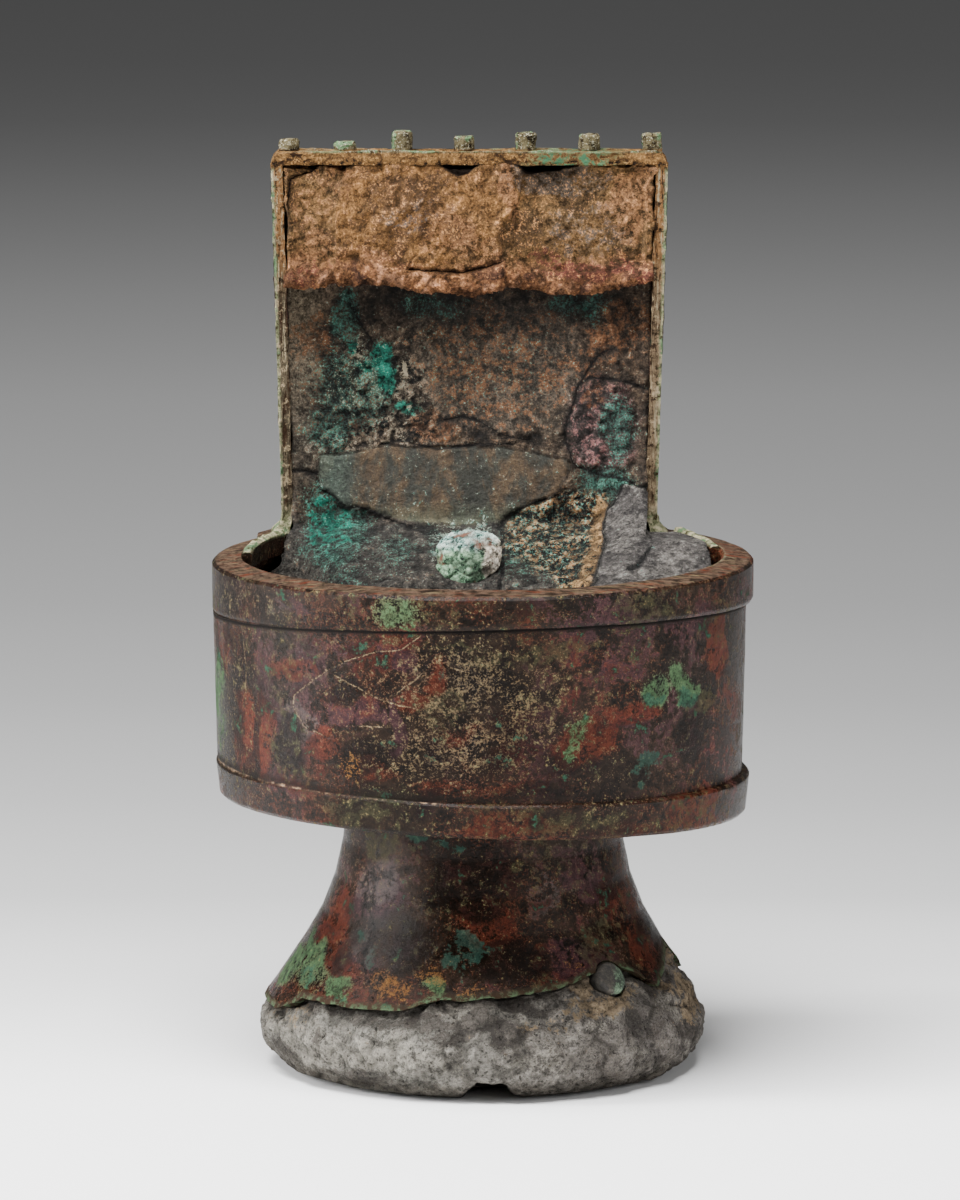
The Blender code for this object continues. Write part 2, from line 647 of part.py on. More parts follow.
def cup_hollow():
    """Inside of the cup, set in by the clearance, up to the rim."""
    corner = math.sin(math.radians(45.0)) * CUP_FILLET
    radius = CUP_RADIUS - CLEARANCE
    floor = CUP_FLOOR + CLEARANCE
    neck = RIM_INNER_RADIUS - STRIP_INSET - CLEARANCE
    slope_low = LIP_DEPTH + LIP_SLOPE + 2 * CLEARANCE
    slope_high = LIP_DEPTH + 2 * CLEARANCE
    rings = [
        lambda azimuth: (radius - CUP_FILLET, floor),
        lambda azimuth: (radius - CUP_FILLET + corner, floor + CUP_FILLET - corner),
        lambda azimuth: (radius, floor + CUP_FILLET),
        lambda azimuth: (radius, rim_top(azimuth) - slope_low),
        lambda azimuth: (neck, rim_top(azimuth) - slope_high),
        lambda azimuth: (neck, above_rim() + OVERLAP),
    ]
    return turned_mesh(rings, floor, above_rim() + OVERLAP)


def make_core_fill(parent):
    fill = make_object("core_fill", fill_block(), parent)
    finish_piece(fill, "dark_clay")
    inside_back = PANEL_FAR - PANEL_WALL - CLEARANCE
    hollow = make_guide("cup_hollow", cup_hollow())
    ledge_low = RIM_HEIGHT - LEDGE_RECESS - LEDGE_THICKNESS - CLEARANCE
    under_ledge = make_guide("ledge_space", box_mesh((-RIM_RADIUS, inside_back, ledge_low),
                                                     (RIM_RADIUS, RIM_RADIUS, PANEL_TOP)))
    combine(hollow, under_ledge, "DIFFERENCE")
    inside = prism_mesh(panel_outline(PANEL_WALL + 1.5 * CLEARANCE, above_rim(), False),
                        FILL_NEAREST, inside_back - CLEARANCE / 2, across)
    combine(hollow, make_guide("panel_inside", inside), "UNION")
    for start, side in ((STRIP_START_LEFT, -1), (STRIP_START_RIGHT, 1)):
        beside = prism_mesh(outside_strip(start, side), RIM_HEIGHT - PANEL_SINK, PANEL_TOP, upward)
        combine(hollow, make_guide(f"outside_strip_{side}", beside), "DIFFERENCE")
    combine(fill, hollow, "INTERSECT")
    for neighbour in [panel_shell("panel_space", CLEARANCE)] + strip_guides("strip_space", CLEARANCE):
        combine(fill, neighbour, "DIFFERENCE")
    radius = TENON_RADIUS + CLEARANCE
    lengths = (-TENON_DEPTH - CLEARANCE, 3 * TENON_PROUD)
    socket = plug_mesh(tenon_place(), tenon_axis(), (radius, radius), lengths, PLUG_SIDES)
    combine(fill, make_guide("tenon_socket", socket), "DIFFERENCE")
    return fill


def make_tenon(parent):
    radii = (0.94, 1.0, 1.0, 0.93, 0.66, 0.22)
    lengths = (-1.0, -0.5, 0.2, 0.55, 0.88, 1.0)
    reach = [TENON_DEPTH * length if length < 0.0 else TENON_PROUD * length for length in lengths]
    mesh_builder = plug_mesh(tenon_place(), tenon_axis(), [TENON_RADIUS * share for share in radii],
                             reach, PLUG_SIDES)
    tenon = make_object("tenon", mesh_builder, parent)
    finish_piece(tenon, "green_corrosion")
    return tenon


def make_foot_core(parent):
    """Clay inside the foot, which stands out below the break with a rounded edge and a flat underside."""
    wall = FOOT_WALL + CLEARANCE
    widest = foot_radius(CLAY_SHOULDER_HEIGHT)

    def clay_height(azimuth, share):
        top = break_height(azimuth) - CLEARANCE
        return top + (CLAY_WIDEST_HEIGHT - top) * share

    def clay_ring(share):
        def ring(azimuth):
            height = clay_height(azimuth, share)
            recess = CLAY_RECESS * (1.0 - share) ** 2
            return min(foot_radius(height), widest) - recess, height
        return ring

    def lower_ring(share):
        def ring(azimuth):
            height = CLAY_WIDEST_HEIGHT * (1.0 - share)
            inset = CLAY_UNDERCUT * (1.0 - math.sqrt(1.0 - share ** 2))
            notch = NOTCH_HEIGHT if abs(azimuth - NOTCH_AZIMUTH) < NOTCH_HALF_ANGLE else 0.0
            return widest - inset, max(height, notch * share)
        return ring

    rings = [lambda azimuth: (NECK_RADIUS - wall, FOOT_HEIGHT - CLEARANCE)]
    for height in foot_heights():
        rings.append(lambda azimuth, height=height: (foot_radius(height) - wall, height))
    rings.append(lambda azimuth: (foot_radius(break_height(azimuth)) - wall,
                                  break_height(azimuth) - CLEARANCE))
    rings += [clay_ring(share) for share in (0.0, 0.5, 1.0)]
    rings += [lower_ring(share) for share in (0.35, 0.65, 0.87, 1.0)]
    rings.append(lambda azimuth: (widest - CLAY_FLAT_INSET, 0.0))
    core = make_object("foot_core", turned_mesh(rings, FOOT_HEIGHT - CLEARANCE, 0.0), parent)
    finish_piece(core, "grey_clay")
    combine(core, make_guide("plug_socket_in_clay", foot_plug_socket()), "DIFFERENCE")
    return core


def make_foot_plug(parent):
    radii = (PLUG_RADIUS, PLUG_RADIUS, 0.85 * PLUG_RADIUS)
    lengths = (-PLUG_DEPTH, -0.0002, 0.0004)
    mesh_builder = plug_mesh(foot_plug_place(), foot_plug_axis(), radii, lengths, PLUG_SIDES)
    plug = make_object("foot_plug", mesh_builder, parent)
    finish_piece(plug, "brown_metal")
    return plug


def main():
    for old in list(bpy.data.objects):
        bpy.data.objects.remove(old, do_unlink=True)
    origin = bpy.data.objects.new("burner_origin", None)
    bpy.context.scene.collection.objects.link(origin)
    make_bronze_body(origin)
    make_upper_core_slab(origin)
    make_core_fill(origin)
    make_tenon(origin)
    make_foot_core(origin)
    make_foot_plug(origin)


main()
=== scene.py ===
"""The looks of an ancient cast bronze incense burner with its clay core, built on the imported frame.

Each solid of the frame is copied, cut into fine faces and worked over like the real surface: dents and
blisters in the bronze, grit, lumps, cracks and crystals in the clay. Lengths are in metres, +Z is up and
the viewer stands on the -Y side.
"""
import math

import bmesh
import bpy
import numpy as np
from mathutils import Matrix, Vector


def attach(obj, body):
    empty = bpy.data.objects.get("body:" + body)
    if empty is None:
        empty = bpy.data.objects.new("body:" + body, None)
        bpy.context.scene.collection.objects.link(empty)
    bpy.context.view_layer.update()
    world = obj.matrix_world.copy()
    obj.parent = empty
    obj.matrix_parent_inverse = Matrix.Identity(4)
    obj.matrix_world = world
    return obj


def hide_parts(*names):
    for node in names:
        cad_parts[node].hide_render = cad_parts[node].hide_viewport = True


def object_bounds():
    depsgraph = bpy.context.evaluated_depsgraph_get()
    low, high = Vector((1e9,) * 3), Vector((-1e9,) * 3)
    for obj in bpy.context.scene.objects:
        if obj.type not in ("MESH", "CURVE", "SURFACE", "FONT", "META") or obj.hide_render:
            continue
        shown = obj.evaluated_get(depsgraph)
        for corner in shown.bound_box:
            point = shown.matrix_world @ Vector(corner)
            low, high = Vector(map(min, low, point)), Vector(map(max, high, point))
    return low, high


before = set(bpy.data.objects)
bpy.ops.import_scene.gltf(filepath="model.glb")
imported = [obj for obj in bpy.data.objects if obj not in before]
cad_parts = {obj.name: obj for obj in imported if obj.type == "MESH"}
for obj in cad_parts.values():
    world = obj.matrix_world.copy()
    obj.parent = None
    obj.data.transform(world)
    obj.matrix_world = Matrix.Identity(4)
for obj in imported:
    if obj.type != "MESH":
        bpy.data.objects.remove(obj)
cad_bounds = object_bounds()

MM = 0.001

# Sizes of the burner that the work on its surface follows
RIM_HEIGHT = 0.1524
RIM_RADIUS = 0.0803
FOOT_TOP = 0.0795
NECK_RADIUS = 0.0409
FLARE_RADIUS = 0.0760
FLARE_ANGLE = math.radians(33.5)
DRUM_SEGMENTS = 60
DRUM_RADIUS = 0.0792
BAND_RADIUS = 0.0793
PANEL_CENTRE = -0.0040
PANEL_NEAR = 0.0345

# Levels of the turned lines: their height, and how far they rise to the right and to the front
BAND_TOP = 0.0910
BAND_RISE = (-0.0021, 0.0010)
COLLAR_LOW = 0.1371
COLLAR_RISE = (0.00165, 0.0059)

# Broken lower edge of the bronze foot: azimuth in degrees and height
BREAK_EDGE = (
    (-180, 0.0220), (-140, 0.0200), (-90, 0.0205), (-68, 0.0203), (-62, 0.0255), (-40, 0.0258),
    (-21, 0.0267), (-16, 0.0301), (1, 0.0305), (13, 0.0316), (27, 0.0329), (34, 0.0352), (43, 0.0368),
    (50, 0.0355), (55, 0.0320), (57, 0.0283), (61, 0.0286), (67, 0.0315), (78, 0.0349), (88, 0.0367),
    (98, 0.0280), (110, 0.0240), (140, 0.0230), (180, 0.0220),
)

# Fineness of the worked surfaces
COARSE = 1.0
BRONZE_EDGE = 0.0014 * COARSE
HIDDEN_EDGE = 0.0060
FILL_VOXEL = 0.00090 * COARSE
SLAB_VOXEL = 0.00062 * COARSE
CORE_VOXEL = 0.00100 * COARSE
SMALL_VOXEL = 0.00040
SPLIT_ROUNDS = 9

# How much brighter each surface is than the picture shows it
BRONZE_GAIN = 0.40
SLAB_GAIN = 0.74
FILL_GAIN = 0.55
CORE_GAIN = 0.74
TENON_GAIN = 0.95

# Camera: distance to the middle of the rim, angle down to it and where it stands in the picture
PHOTO_WIDTH = 960
PHOTO_HEIGHT = 1200
CAMERA_DISTANCE = 2.5
CAMERA_ELEVATION = math.radians(8.5)
PIXELS_PER_METRE = 3370.0
RIM_PIXEL = (482.8, 557.0)
SENSOR = 36.0


def activate(piece):
    bpy.ops.object.select_all(action="DESELECT")
    piece.select_set(True)
    bpy.context.view_layer.objects.active = piece


def copy_of_node(node, name):
    """Merged copy of a solid of the frame, at the origin."""
    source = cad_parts[node]
    mesh = source.data.copy()
    mesh.transform(source.matrix_world)
    mesh.materials.clear()
    piece = bpy.data.objects.new(name, mesh)
    bpy.context.scene.collection.objects.link(piece)
    activate(piece)
    bpy.ops.object.mode_set(mode="EDIT")
    bpy.ops.mesh.select_all(action="SELECT")
    bpy.ops.mesh.customdata_custom_splitnormals_clear()
    bpy.ops.mesh.remove_doubles(threshold=0.00001)
    bpy.ops.object.mode_set(mode="OBJECT")
    return piece


def split_long_edges(piece, longest):
    """Halves each edge that is longer than its limit, until none is left."""
    activate(piece)
    bpy.context.tool_settings.mesh_select_mode = (False, True, False)
    bpy.ops.object.mode_set(mode="EDIT")
    for _ in range(SPLIT_ROUNDS):
        bpy.ops.mesh.select_all(action="DESELECT")
        shape = bmesh.from_edit_mesh(piece.data)
        found = False
        for edge in shape.edges:
            start, end = edge.verts[0].co, edge.verts[1].co
            if (start - end).length > longest((start + end) / 2):
                edge.select_set(True)
                found = True
        if not found:
            break
        bmesh.update_edit_mesh(piece.data)
        bpy.ops.mesh.subdivide(number_cuts=1)
        bpy.ops.mesh.select_all(action="SELECT")
        bpy.ops.mesh.quads_convert_to_tris(quad_method="BEAUTY", ngon_method="BEAUTY")
    bpy.ops.object.mode_set(mode="OBJECT")


def voxel_remesh(piece, size):
    activate(piece)
    remesh = piece.modifiers.new("even faces", "REMESH")
    remesh.mode = "VOXEL"
    remesh.voxel_size = size
    bpy.ops.object.modifier_apply(modifier=remesh.name)


def read_points(piece):
    """Places and normals of a piece's vertices, as arrays with one row each."""
    count = len(piece.data.vertices)
    places = np.empty(count * 3)
    normals = np.empty(count * 3)
    piece.data.vertices.foreach_get("co", places)
    piece.data.vertices.foreach_get("normal", normals)
    return places.reshape(-1, 3), normals.reshape(-1, 3)


def write_points(piece, places):
    """New places, kept inside the box of the solids."""
    low, high = (np.array(corner) for corner in cad_bounds)
    piece.data.vertices.foreach_set("co", np.clip(places, low, high).ravel())
    piece.data.update()


def lattice_values(cells, seed):
    """Repeatable value from 0 to 1 for each whole-numbered cell."""
    cells = cells.astype(np.int64)
    mixed = cells[..., 0] * 374761393 + cells[..., 1] * 668265263 + cells[..., 2] * 1442695041 + seed * 974634777
    mixed = (mixed ^ (mixed >> 13)) * 1274126177
    return ((mixed ^ (mixed >> 16)) & 0xFFFF) / 65535.0


def lattice_noise(places, size, seed):
    """Smooth noise from -1 to 1 whose lumps are about as wide as size."""
    scaled = places / size
    cell = np.floor(scaled)
    part = scaled - cell
    part = part * part * (3.0 - 2.0 * part)
    total = np.zeros(len(places))
    for corner in range(8):
        offset = np.array([corner & 1, corner >> 1 & 1, corner >> 2 & 1])
        weight = np.prod(np.where(offset == 1, part, 1.0 - part), axis=1)
        total += weight * lattice_values(cell + offset, seed)
    return 2.0 * total - 1.0


def rough_noise(places, size, octaves, seed, keep=0.5):
    """Sum of noises, each half as wide as the one before and weaker by keep."""
    total = np.zeros(len(places))
    strength = 1.0
    reach = 0.0
    for octave in range(octaves):
        total += strength * lattice_noise(places, size / 2 ** octave, seed + 17 * octave)
        reach += strength
        strength *= keep
    return total / reach


def ramp(values, low, high):
    """Smooth step from 0 at low to 1 at high."""
    share = np.clip((values - low) / (high - low), 0.0, 1.0)
    return share * share * (3.0 - 2.0 * share)


def cells(places, size, seed):
    """Nearness to the seams between scattered grains, from 0 on a seam, and a value for each grain."""
    scaled = places / size
    cell = np.floor(scaled)
    nearest = np.full(len(places), 9.0)
    following = np.full(len(places), 9.0)
    chosen = np.zeros(len(places))
    for step in range(27):
        corner = cell + np.array([step % 3 - 1, step // 3 % 3 - 1, step // 9 - 1])
        spread = np.stack([lattice_values(corner, seed + axis) for axis in range(3)], axis=1)
        away = np.linalg.norm(corner + spread - scaled, axis=1)
        chosen = np.where(away < nearest, lattice_values(corner, seed + 5), chosen)
        following = np.minimum(following, np.maximum(nearest, away))
        nearest = np.minimum(nearest, away)
    return following - nearest, chosen


def pushed_about(places, size, reach, seed):
    """Places moved by smooth noise, so that what is built on them loses its regular look."""
    moved = [reach * lattice_noise(places, size, seed + 31 * axis) for axis in range(3)]
    return places + np.stack(moved, axis=1)


def grains(places, size, seed):
    """Broken clay: grains of different heights, from about -1 to 1, with a seam round each."""
    seam, height = cells(pushed_about(places, size, 0.35 * size, seed + 3), size, seed)
    return 1.4 * (height - 0.5) * ramp(seam, 0.0, 0.25) - 0.6 * ramp(seam, 0.22, 0.0)


def on_panel(places):
    """Places across and heights, in millimetres."""
    return places[:, (0, 2)] / MM


def on_drum(places):
    """Places rolled out flat: millimetres along the drum from the front, and heights."""
    azimuth = np.arctan2(places[:, 0], -places[:, 1])
    return np.stack([azimuth * DRUM_RADIUS, places[:, 2]], axis=1) / MM


def rolled_out(points):
    """Line of azimuths in degrees and heights in millimetres, rolled out like the drum."""
    return [(math.radians(azimuth) * DRUM_RADIUS / MM, height) for azimuth, height in points]


def side_distance(flat, line):
    """Distance from a line of points, negative on its right-hand side."""
    nearest = np.full(len(flat), 50.0)
    for start, end in zip(line, line[1:]):
        start, end = np.array(start), np.array(end)
        along = end - start
        share = np.clip(((flat - start) @ along) / (along @ along), 0.0, 1.0)
        away = flat - start - share[:, None] * along
        length = np.linalg.norm(away, axis=1)
        side = np.sign(along[0] * away[:, 1] - along[1] * away[:, 0])
        nearest = np.where(length < np.abs(nearest), side * length, nearest)
    return nearest


def nearest_line(flat, lines):
    """Distance from the nearest of several lines, with a sign for its side."""
    nearest = np.full(len(flat), 50.0)
    for line in lines:
        away = side_distance(flat, line)
        nearest = np.where(np.abs(away) < np.abs(nearest), away, nearest)
    return nearest


def area_distance(flat, outline):
    """Distance from the edge of a closed outline, positive inside it."""
    across, height = flat[:, 0], flat[:, 1]
    inside = np.zeros(len(flat), dtype=bool)
    for (x0, z0), (x1, z1) in zip(outline, outline[1:] + outline[:1]):
        crosses = (z0 > height) != (z1 > height)
        with np.errstate(divide="ignore", invalid="ignore"):
            meet = (x1 - x0) * (height - z0) / (z1 - z0) + x0
        inside ^= crosses & (across < meet)
    edge = np.abs(side_distance(flat, outline + outline[:1]))
    return np.where(inside, edge, -edge)


def store(piece, name, values):
    """Keeps one value for each vertex, which the material reads."""
    piece.data.attributes.new(name, "FLOAT", "POINT").data.foreach_set("value", values.astype(np.float32))


def spots(places, centres):
    """Weight from 0 to 1 near some places: each has a place, a reach along each axis and a strength."""
    total = np.zeros(len(places))
    for centre, reach, strength in centres:
        away = np.linalg.norm((places - np.array(centre)) / np.array(reach), axis=1)
        total = np.maximum(total, strength * ramp(away, 1.45, 0.55))
    return total


def around(azimuth, height, radius=None):
    """Place on the drum or foot: azimuth in degrees from the front, height in millimetres."""
    angle = math.radians(azimuth)
    if radius is None:
        radius = DRUM_RADIUS if height > 79.0 else float(foot_radius(height * MM))
    return (radius * math.sin(angle), -radius * math.cos(angle), height * MM)


def round_spots(places, centres, depth=0.012):
    """Spots on the drum or foot: azimuth, height, reach across, reach up and strength."""
    return spots(places, [(around(azimuth, height), (across * MM, depth, up * MM), strength)
                          for azimuth, height, across, up, strength in centres])


def flat_spots(places, centres, depth=0.030):
    """Spots on the panel: place across, height, reach across, reach up and strength."""
    return spots(places, [((across * MM, PANEL_NEAR, height * MM), (reach * MM, depth, up * MM), strength)
                          for across, height, reach, up, strength in centres])


def from_wall(places):
    """Distance in millimetres from the inner side walls of the panel."""
    half_width = 0.05275 + 0.0031 * (places[:, 2] - RIM_HEIGHT) / 0.1166
    return (half_width - np.abs(places[:, 0] - PANEL_CENTRE)) / MM


def pushed_to_walls(places, front, reach, seed):
    """Clay drawn forward along the side walls, in lumps, so that no straight gap is left there."""
    lumps = 0.65 + 0.5 * rough_noise(places, 0.006, 3, seed)
    moved = places.copy()
    moved[:, 1] -= front * ramp(from_wall(places), 3.8, 1.6) * lumps * reach * MM
    moved[:, 0] += front * ramp(from_wall(places), 3.0, 1.0) * np.sign(places[:, 0] - PANEL_CENTRE) * 1.0 * MM
    return moved


def line_height(azimuth, level, rise):
    """Height of a line round the drum that rises a little to the right and to the front."""
    return level + rise[0] * np.sin(azimuth) + rise[1] * np.cos(azimuth)


def foot_radius(height):
    """Outer radius of the bronze foot at each height."""
    drop = FOOT_TOP - height
    arc_drop = FLARE_RADIUS * math.sin(FLARE_ANGLE)
    on_arc = NECK_RADIUS + FLARE_RADIUS - np.sqrt(np.maximum(FLARE_RADIUS ** 2 - drop ** 2, 0.0))
    arc_growth = FLARE_RADIUS * (1.0 - math.cos(FLARE_ANGLE))
    on_cone = NECK_RADIUS + arc_growth + (drop - arc_drop) * math.tan(FLARE_ANGLE)
    return np.where(drop < arc_drop, on_arc, on_cone)


def round_off(places):
    """Moves points from the flat facets of the turned shape out onto the true circle."""
    half = math.pi / DRUM_SEGMENTS
    azimuth = np.arctan2(places[:, 0], -places[:, 1])
    from_middle = (azimuth + math.pi) % (2 * half) - half
    share = np.cos(from_middle) / math.cos(half)
    moved = places.copy()
    turned = places[:, 2] < RIM_HEIGHT + 0.0002
    moved[turned, :2] *= share[turned, None]
    return moved


# Lines and outlines on the panel, as places across and heights in millimetres
LENS = [(-49.6, 170.1), (-48.7, 177.4), (-33.6, 180.2), (1.0, 180.8), (24.4, 176.5), (26.5, 174.4),
        (22.3, 166.8), (14.8, 162.2), (7.3, 158.0), (-15.3, 156.2), (-29.1, 159.2), (-42.1, 161.9)]
FILL_CRACKS = [
    [(26.5, 174.7), (32.0, 172.6), (42.8, 170.5), (52.4, 166.8)],
    [(5.2, 157.1), (6.4, 149.0), (5.5, 138.5)],
    [(-40.1, 223.1), (-36.0, 217.0), (-32.0, 211.1)],
    [(-12.6, 188.0), (-5.6, 188.7), (-0.2, 188.0), (5.2, 183.8), (14.0, 181.0)],
    [(38.2, 209.5), (34.6, 206.8), (31.0, 202.3), (28.0, 198.3), (26.8, 192.9), (24.7, 185.3), (26.5, 174.7)],
    [(28.9, 199.3), (32.5, 200.8), (42.4, 200.5), (48.7, 198.0)],
    [(-58.6, 173.2), (-55.0, 173.8), (-50.2, 172.0)],
    [(-49.6, 168.3), (-45.0, 165.5), (-41.8, 161.9), (-38.8, 161.9), (-22.5, 156.5), (-15.0, 156.2)],
    [(5.5, 157.4), (14.8, 162.4), (23.5, 166.8)],
    [(42.8, 168.3), (38.0, 161.3), (35.9, 151.3), (31.1, 144.3), (24.2, 140.3)],
    [(49.5, 153.7), (46.0, 150.0), (43.4, 148.9)],
    [(-30.0, 180.5), (-22.0, 182.5), (-14.0, 179.5), (-2.0, 181.5), (8.0, 180.5)],
]
MASS = [(42.8, 168.3), (38.0, 161.3), (35.9, 151.3), (31.1, 144.3), (24.2, 140.3), (22.0, 120.0),
        (75.0, 120.0), (75.0, 160.0), (54.0, 168.0)]
BROWN_CENTRE = [(-22.0, 222.0), (24.0, 222.0), (31.0, 204.0), (26.5, 192.0), (22.0, 184.5), (8.0, 184.5),
                (-6.0, 188.0), (-13.0, 190.0), (-17.0, 199.0), (-20.0, 208.0)]
CRYSTALS = [(-50.0, 178.0), (-49.0, 196.0), (-41.0, 210.0), (-34.0, 212.0), (-30.0, 208.0), (-20.0, 206.0),
            (-17.0, 196.0), (-13.0, 188.0), (-17.0, 181.5), (-32.0, 180.8)]
PURPLE = [(27.0, 198.0), (34.0, 200.0), (42.0, 199.5), (46.0, 190.0), (45.0, 178.0), (38.0, 172.0), (27.5, 175.5),
          (25.5, 185.0)]
CRUST = [(6.0, 156.0), (23.5, 166.5), (37.0, 167.0), (37.5, 160.0), (35.5, 152.0), (30.0, 144.5), (24.5, 140.8),
         (21.0, 146.0), (14.0, 149.5), (8.0, 151.0)]
CRUST_RIM = [(35.0, 165.0), (38.5, 161.5), (36.0, 152.0), (30.5, 144.0), (24.5, 140.5), (23.5, 143.5), (28.5, 147.0),
             (32.0, 152.5), (34.0, 160.0)]
SLAB_RIDGE = [(12.5, 270.0), (10.8, 263.6), (9.9, 254.0), (6.0, 247.7), (6.3, 236.0), (7.0, 220.0)]
SLAB_CRACKS = [
    [(-46.2, 267.5), (-50.1, 265.2), (-54.0, 263.6), (-57.4, 261.5), (-57.8, 253.4), (-58.8, 242.3)],
    [(-21.5, 234.6), (-12.8, 233.2), (-5.6, 234.0), (5.2, 236.0)],
]
SLAB_GAPS = [
    [(-20.0, 268.0), (-13.0, 265.0), (-7.0, 262.6), (-2.0, 265.0), (2.0, 268.0)],
    [(4.0, 268.0), (8.0, 265.2), (14.0, 263.2), (24.0, 264.4), (28.0, 268.0)],
]
SLAB_LIP = [(-62.0, 234.0), (-45.0, 236.5), (-33.0, 237.5), (-22.0, 234.0), (-8.0, 232.8), (6.0, 235.5),
            (20.0, 233.5), (40.0, 236.0), (56.0, 237.0), (56.0, 215.0), (-62.0, 215.0)]

# Thin pale lines in the drum's patina, as azimuths in degrees and heights in millimetres
DRUM_LINES = [
    [(-34.7, 128.8), (-29.9, 132.3), (-22.9, 135.6), (-17.3, 136.6), (-13.4, 140.6)],
    [(-34.7, 128.8), (-27.6, 124.9), (-22.5, 121.9), (-17.3, 120.2), (-13.4, 119.3)],
    [(-34.7, 128.8), (-41.2, 122.9), (-43.8, 120.4), (-44.2, 116.8), (-41.2, 111.7), (-35.3, 109.3)],
    [(-35.3, 108.7), (-29.5, 113.3), (-22.0, 113.7)],
    [(-11.5, 140.7), (-9.8, 135.5), (-12.1, 130.8), (-14.3, 128.0), (-18.0, 124.3)],
    [(-9.8, 135.5), (-6.8, 131.8), (-3.5, 130.7), (-0.6, 129.0)],
    [(-62.0, 136.0), (-60.5, 126.0), (-61.0, 117.0)],
]


# Spots of colour in the patina: azimuth in degrees, height, reach across and up in millimetres, strength
RED_SPOTS = ((-62, 106, 5, 14, 0.78), (-54.5, 105, 4, 12, 0.78), (-46, 128, 6, 5, 0.62), (-36, 108, 7, 4, 0.65),
             (-10, 128, 5, 6, 0.75), (-14, 121, 5, 4, 0.70), (-5, 113, 8, 4, 0.60), (24, 108, 12, 6, 0.72),
             (34, 116, 12, 5, 0.60), (62, 132, 4, 13, 0.70), (-3, 96, 22, 3, 0.58), (-24, 100, 8, 4, 0.60),
             (-50, 33, 12, 6, 0.75), (-62, 44, 8, 16, 0.70), (-1, 49, 12, 6, 0.60), (64, 40, 6, 12, 0.62),
             (8, 84, 24, 4, 0.60), (55, 88, 10, 4, 0.60))
PURPLE_SPOTS = ((-28, 117, 12, 5, 0.75), (-18.5, 134, 8, 4, 0.75), (-18.5, 114, 3, 9, 0.75), (-41, 130, 5, 9, 0.62),
                (-43, 147, 14, 4, 0.60), (32, 40, 14, 8, 0.70), (44, 62, 9, 10, 0.65), (-44, 58, 10, 12, 0.60),
                (-42, 36, 8, 8, 0.65), (50, 140, 14, 8, 0.58), (30, 130, 14, 5, 0.55))
DARK_SPOTS = ((-57.8, 104, 1.6, 13, 0.85), (-27, 103, 12, 6, 0.75), (52, 106, 8, 8, 0.72), (-29, 125, 7, 4, 0.65),
              (-46, 104, 5, 9, 0.70), (-62, 126, 8, 10, 0.65), (0, 94, 34, 3, 0.60), (10, 122, 10, 3, 0.60),
              (-6, 62, 14, 14, 0.75), (8, 42, 12, 8, 0.72), (64, 60, 4, 9, 0.75), (84, 42, 4, 9, 0.7),
              (-26, 44, 8, 9, 0.60), (-20, 74, 14, 5, 0.60), (20, 104, 8, 4, 0.58))
# Pale grey spots, most of them where the highlight of the light at the left falls: pale patina and painted sheen.
PALE_AND_SHEEN_SPOTS = ((-45, 61, 9, 7, 0.62), (-44, 41, 5, 9, 0.62), (-44, 112, 6, 6, 0.60), (22, 58, 8, 8, 0.50),
              (-48, 146, 9, 4, 0.55))
GREEN_SPOTS = ((40.5, 122, 4.5, 6, 0.72), (47.5, 121.5, 2.6, 7, 0.68), (-18, 146.6, 7, 4.5, 0.62),
               (-67, 36, 3.2, 7, 0.78), (-64, 31, 5, 6, 0.66), (-81, 31, 6, 7, 0.72), (-47, 28.6, 6, 2, 0.68),
               (-16.5, 32.8, 4, 3, 0.72), (-80, 112, 4, 13, 0.68), (21, 110.4, 4, 3.4, 0.60))
OLIVE_SPOTS = ((54, 117, 6, 4, 0.65), (-28, 88, 18, 5, 0.60), (20, 86, 26, 4, 0.56), (38, 146, 20, 4, 0.56),
               (-8, 120, 10, 8, 0.55), (10, 136, 30, 4, 0.55), (-44, 72, 6, 7, 0.60), (42, 44, 8, 6, 0.55))
TEAL_SPOTS = ((39.5, 120, 3, 2.6, 0.62), (48.5, 117.5, 2.2, 3, 0.60), (35, 99.8, 4.5, 3, 0.62), (-41, 40, 3, 7, 0.56),
              (-8.7, 43, 6.5, 6, 0.72), (-64, 29.5, 4, 4, 0.56), (-10, 74.5, 22, 1.6, 0.60), (-9, 130.5, 2, 1.6, 0.62))
ORANGE_SPOTS = ((-28.6, 34.8, 5.5, 3.4, 0.52), (-17, 35.6, 4, 4, 0.50), (-3, 33.6, 6, 1.8, 0.44), (-30, 102, 4, 4, 0.45),
                (30, 38, 4, 2, 0.4))


